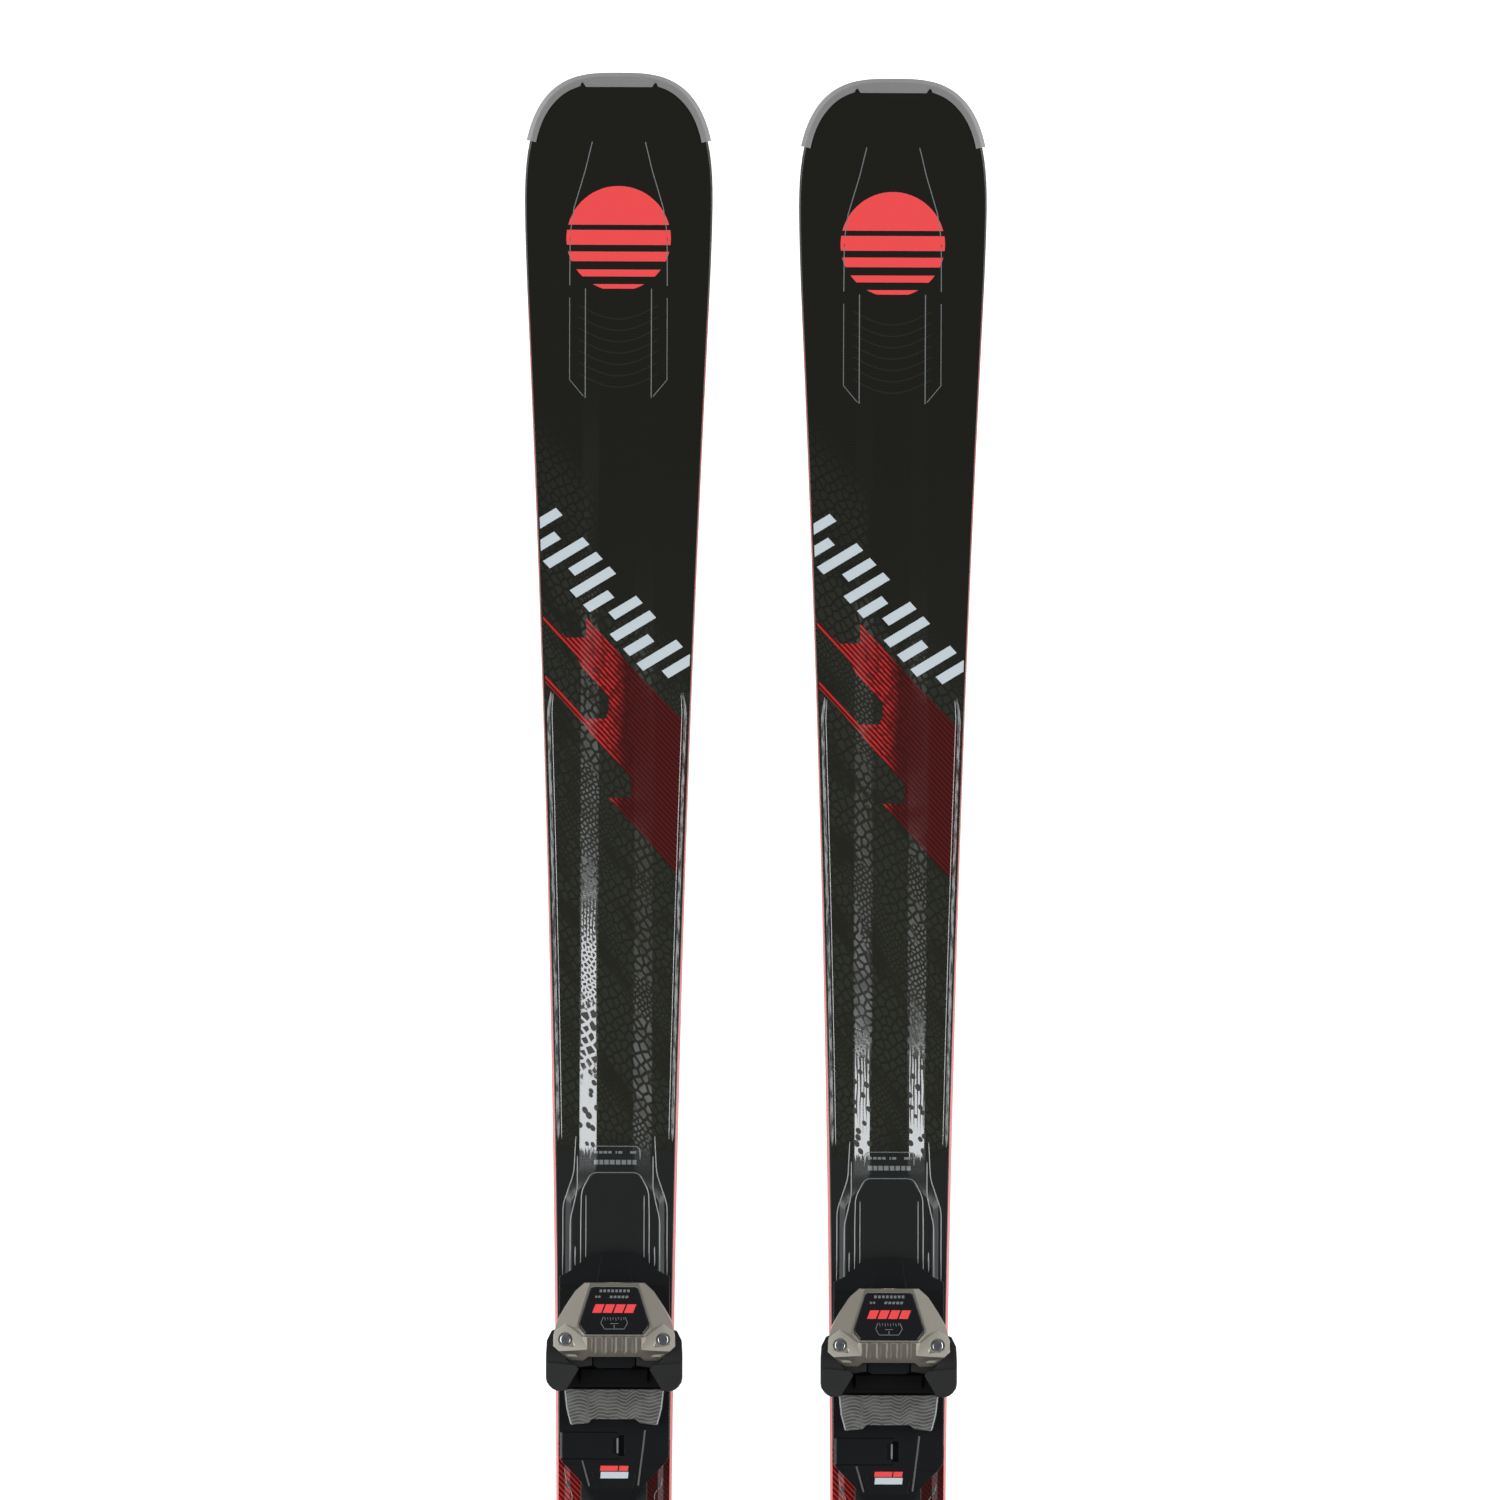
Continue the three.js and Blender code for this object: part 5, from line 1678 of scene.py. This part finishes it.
def rear_latch():
    flap = box((-15, 15), (-292, -268.2), (28.2, 31.2))
    flap = union(flap, rod((-15, -268.6, 29.7), (15, -268.6, 29.7), 1.5, 20))
    flap = bevel(flap, 0.45, 2, 30)
    grips = [tube([(-11, y, 31.15), (11, y, 31.15)], 0.5) for y in (-289, -286, -283)]
    return joined(flap, *grips)


place("heel_flap", rear_latch(), "rear_latch", "black", "heel_latch")

# ---- brake -----------------------------------------------------------------------------------------------

CRANK, CRANK_ANGLE = 26.0, math.radians(80)
CRANK_Y = BRAKE_Y + CRANK * math.cos(CRANK_ANGLE)
CRANK_Z = BRAKE_Z + CRANK * math.sin(CRANK_ANGLE)
FOOT_Y, FOOT_Z, ARM_X = -145.0, -46.0, 47.0
REACH = math.hypot(FOOT_Y - BRAKE_Y, FOOT_Z - BRAKE_Z)


def brake_wire(s):
    """One arm's wire: the crank under the pedal, the axis, and down into the foot."""
    into_foot = 62.0 / REACH
    end_y, end_z = lerp(BRAKE_Y, FOOT_Y, into_foot), lerp(BRAKE_Z, FOOT_Z, into_foot)
    corners = [(s * 14.2, CRANK_Y, CRANK_Z), (s * 24.6, CRANK_Y, CRANK_Z), (s * 24.6, BRAKE_Y, BRAKE_Z),
               (s * ARM_X, BRAKE_Y, BRAKE_Z), (s * ARM_X, end_y, end_z)]
    return sweep(rounded_path(corners, 4.0, 7), WIRE_R, 16)


def brake_foot(s):
    """A foot drawn level along the arm's wire and then swung down with it."""
    end = -REACH
    outline = [(-40, 0), (-42, 3.2), (-46, 4), (end + 16, 5), (end + 5, 4), (end + 0.4, 1),
               (end + 1.4, -2.3), (end + 3.4, -3.9), (end + 12, -4.5), (-50, -4.5), (-44, -3.6)]
    foot = bevel(prism("X", outline, s * (ARM_X - 4.5), s * (ARM_X + 5.5)), 1.3, 3, 24)
    angle = math.degrees(math.atan2(-(FOOT_Z - BRAKE_Z), -(FOOT_Y - BRAKE_Y)))
    rib_x = s * (ARM_X + 5.2)
    ribs = [tube([(rib_x, end + 8 + k * 5, -2.8), (rib_x, end + 8 + k * 5, 3.2)], 0.6) for k in range(5)]
    return turned(joined(foot, *ribs), (0, BRAKE_Y, BRAKE_Z), angle)


for s, tag in ((-1, "l"), (1, "r")):
    place("brake_wire_" + tag, brake_wire(s), "brake", "wire", "brake_arm_" + tag)
    place("brake_foot_" + tag, brake_foot(s), "brake", "black")


def pedal():
    """The brake's pedal, drawn level with the crank's axis at zero and then tipped up."""
    plate = [(-19, 1.4), (-19, 3.2), (-18, 4), (16, 4), (19, 2.2), (20, 0.5), (18, -1.5), (-14, -1.5)]
    lug = [(-5, 0), (-4, -4), (4, -4), (5, 0)]
    plan = mirrored([(17, 20), (22, 14), (22, -14), (18, -19.5)])
    body = common(prism("X", plate, -22, 22), prism("Z", plan, -10, 10))
    body = union(body, prism("X", lug, -22, -15), prism("X", lug, 15, 22))
    for low, high in ((-30, -13.4), (13.4, 30)):
        body = cut(body, rod((low, 0, 0), (high, 0, 0), WIRE_HOLE, 24))
    body = bevel(body, 0.6, 2, 26)
    ribs = [tube([(-15, y, 3.75), (15, y, 3.75)], 0.6) for y in (-12, -6, 0, 6, 12)]
    return turned(joined(body, *ribs), (0, CRANK_Y, CRANK_Z), 25)


place("brake_treadle", pedal(), "pedal", "black", "brake_pedal")

# ---- stage, light and camera -----------------------------------------------------------------------------

FLOOR_HALF, FLOOR_Z = 40000.0, -1.0
floor_corners = [(x * FLOOR_HALF, y * FLOOR_HALF, FLOOR_Z) for x, y in ((-1, -1), (1, -1), (1, 1), (-1, 1))]
floor = bpy.data.objects.new("floor", mesh_of(floor_corners, [(0, 1, 2, 3)]))
floor.data.materials.append(floor_material())
SCENE.collection.objects.link(floor)


# the lights lie in the deck's own frame, above the middle of the pair
DECK = SKI["left"].copy()
DECK.translation = (SKI["left"].translation + SKI["right"].translation) / 2


def softbox(name, at, size, radiance, tilt=0.0, color=(1, 1, 1)):
    """A rectangular light at a place above the deck, in metres, leaning inwards by tilt degrees."""
    light = bpy.data.lights.new(name, "AREA")
    light.shape = "RECTANGLE"
    light.size, light.size_y = size
    light.energy = radiance * math.pi * size[0] * size[1]
    light.color = color
    obj = bpy.data.objects.new(name, light)
    obj.matrix_world = DECK @ Matrix.Translation(Vector(at)) @ Matrix.Rotation(math.radians(tilt), 4, "Y")
    obj.visible_camera = False
    SCENE.collection.objects.link(obj)


# two wide softboxes over the sides carry the light
KEY_OFF, KEY_HEIGHT, KEY_SIZE = 3.9, 2.8, (2.2, 5.5)
KEY_RADIANCE, KEY_TILT = 5.6, 54.0
for tag, s in zip(SIDES, BOTH):
    softbox("key_" + tag, (s * KEY_OFF, 0.25, KEY_HEIGHT), KEY_SIZE, KEY_RADIANCE, s * KEY_TILT)

# three narrow ones show in the ridge's slopes near the binding
STRIP_HEIGHT, STRIP_RADIANCE, STRIP_COLOR = 3.4, 16.0, (0.94, 0.97, 1.0)
for tag, (x0, x1), (y0, y1) in (
    ("left_outer", (-1.71, -1.51), (0.28, 0.628)),
    ("left_inner", (-1.495, -1.295), (0.28, 0.478)),
    ("right", (1.51, 1.71), (0.28, 0.478)),
):
    centre = ((x0 + x1) / 2, (y0 + y1) / 2, STRIP_HEIGHT)
    softbox("strip_" + tag, centre, (x1 - x0, y1 - y0), STRIP_RADIANCE, color=STRIP_COLOR)

world = bpy.data.worlds.new("studio")
world.use_nodes = True
WORLD_COLOR, WORLD_STRENGTH = (0.9, 0.95, 1.0, 1), 0.13
background = world.node_tree.nodes["Background"]
background.inputs["Color"].default_value = WORLD_COLOR
background.inputs["Strength"].default_value = WORLD_STRENGTH
SCENE.world = world
SCENE.view_settings.view_transform = "Standard"
SCENE.view_settings.look = "None"

CAMERA_DISTANCE, FRAME_WIDTH, SENSOR = 20.0, 0.991, 36.0
CAMERA_Y, CAMERA_Z = 569.3, 14.0  # looks at this place on the skis, in millimetres
CAMERA_X = -0.0025  # and at this one across the pair, in metres
CAMERA_ROLL = 0.0038  # radians: the pair lies very slightly askew in the view
camera = bpy.data.objects.new("camera", bpy.data.cameras.new("camera"))
camera.data.sensor_width = SENSOR
camera.data.lens = SENSOR * CAMERA_DISTANCE / FRAME_WIDTH
SCENE.collection.objects.link(camera)
middle = DECK @ (Vector((0, CAMERA_Y, CAMERA_Z)) * MM)
middle.x = CAMERA_X
turn = SKI["left"].to_3x3()
above = Matrix.Translation(middle + turn @ Vector((0, 0, CAMERA_DISTANCE)))
camera.matrix_world = above @ turn.to_4x4() @ Matrix.Rotation(CAMERA_ROLL, 4, "Z")
SCENE.camera = camera
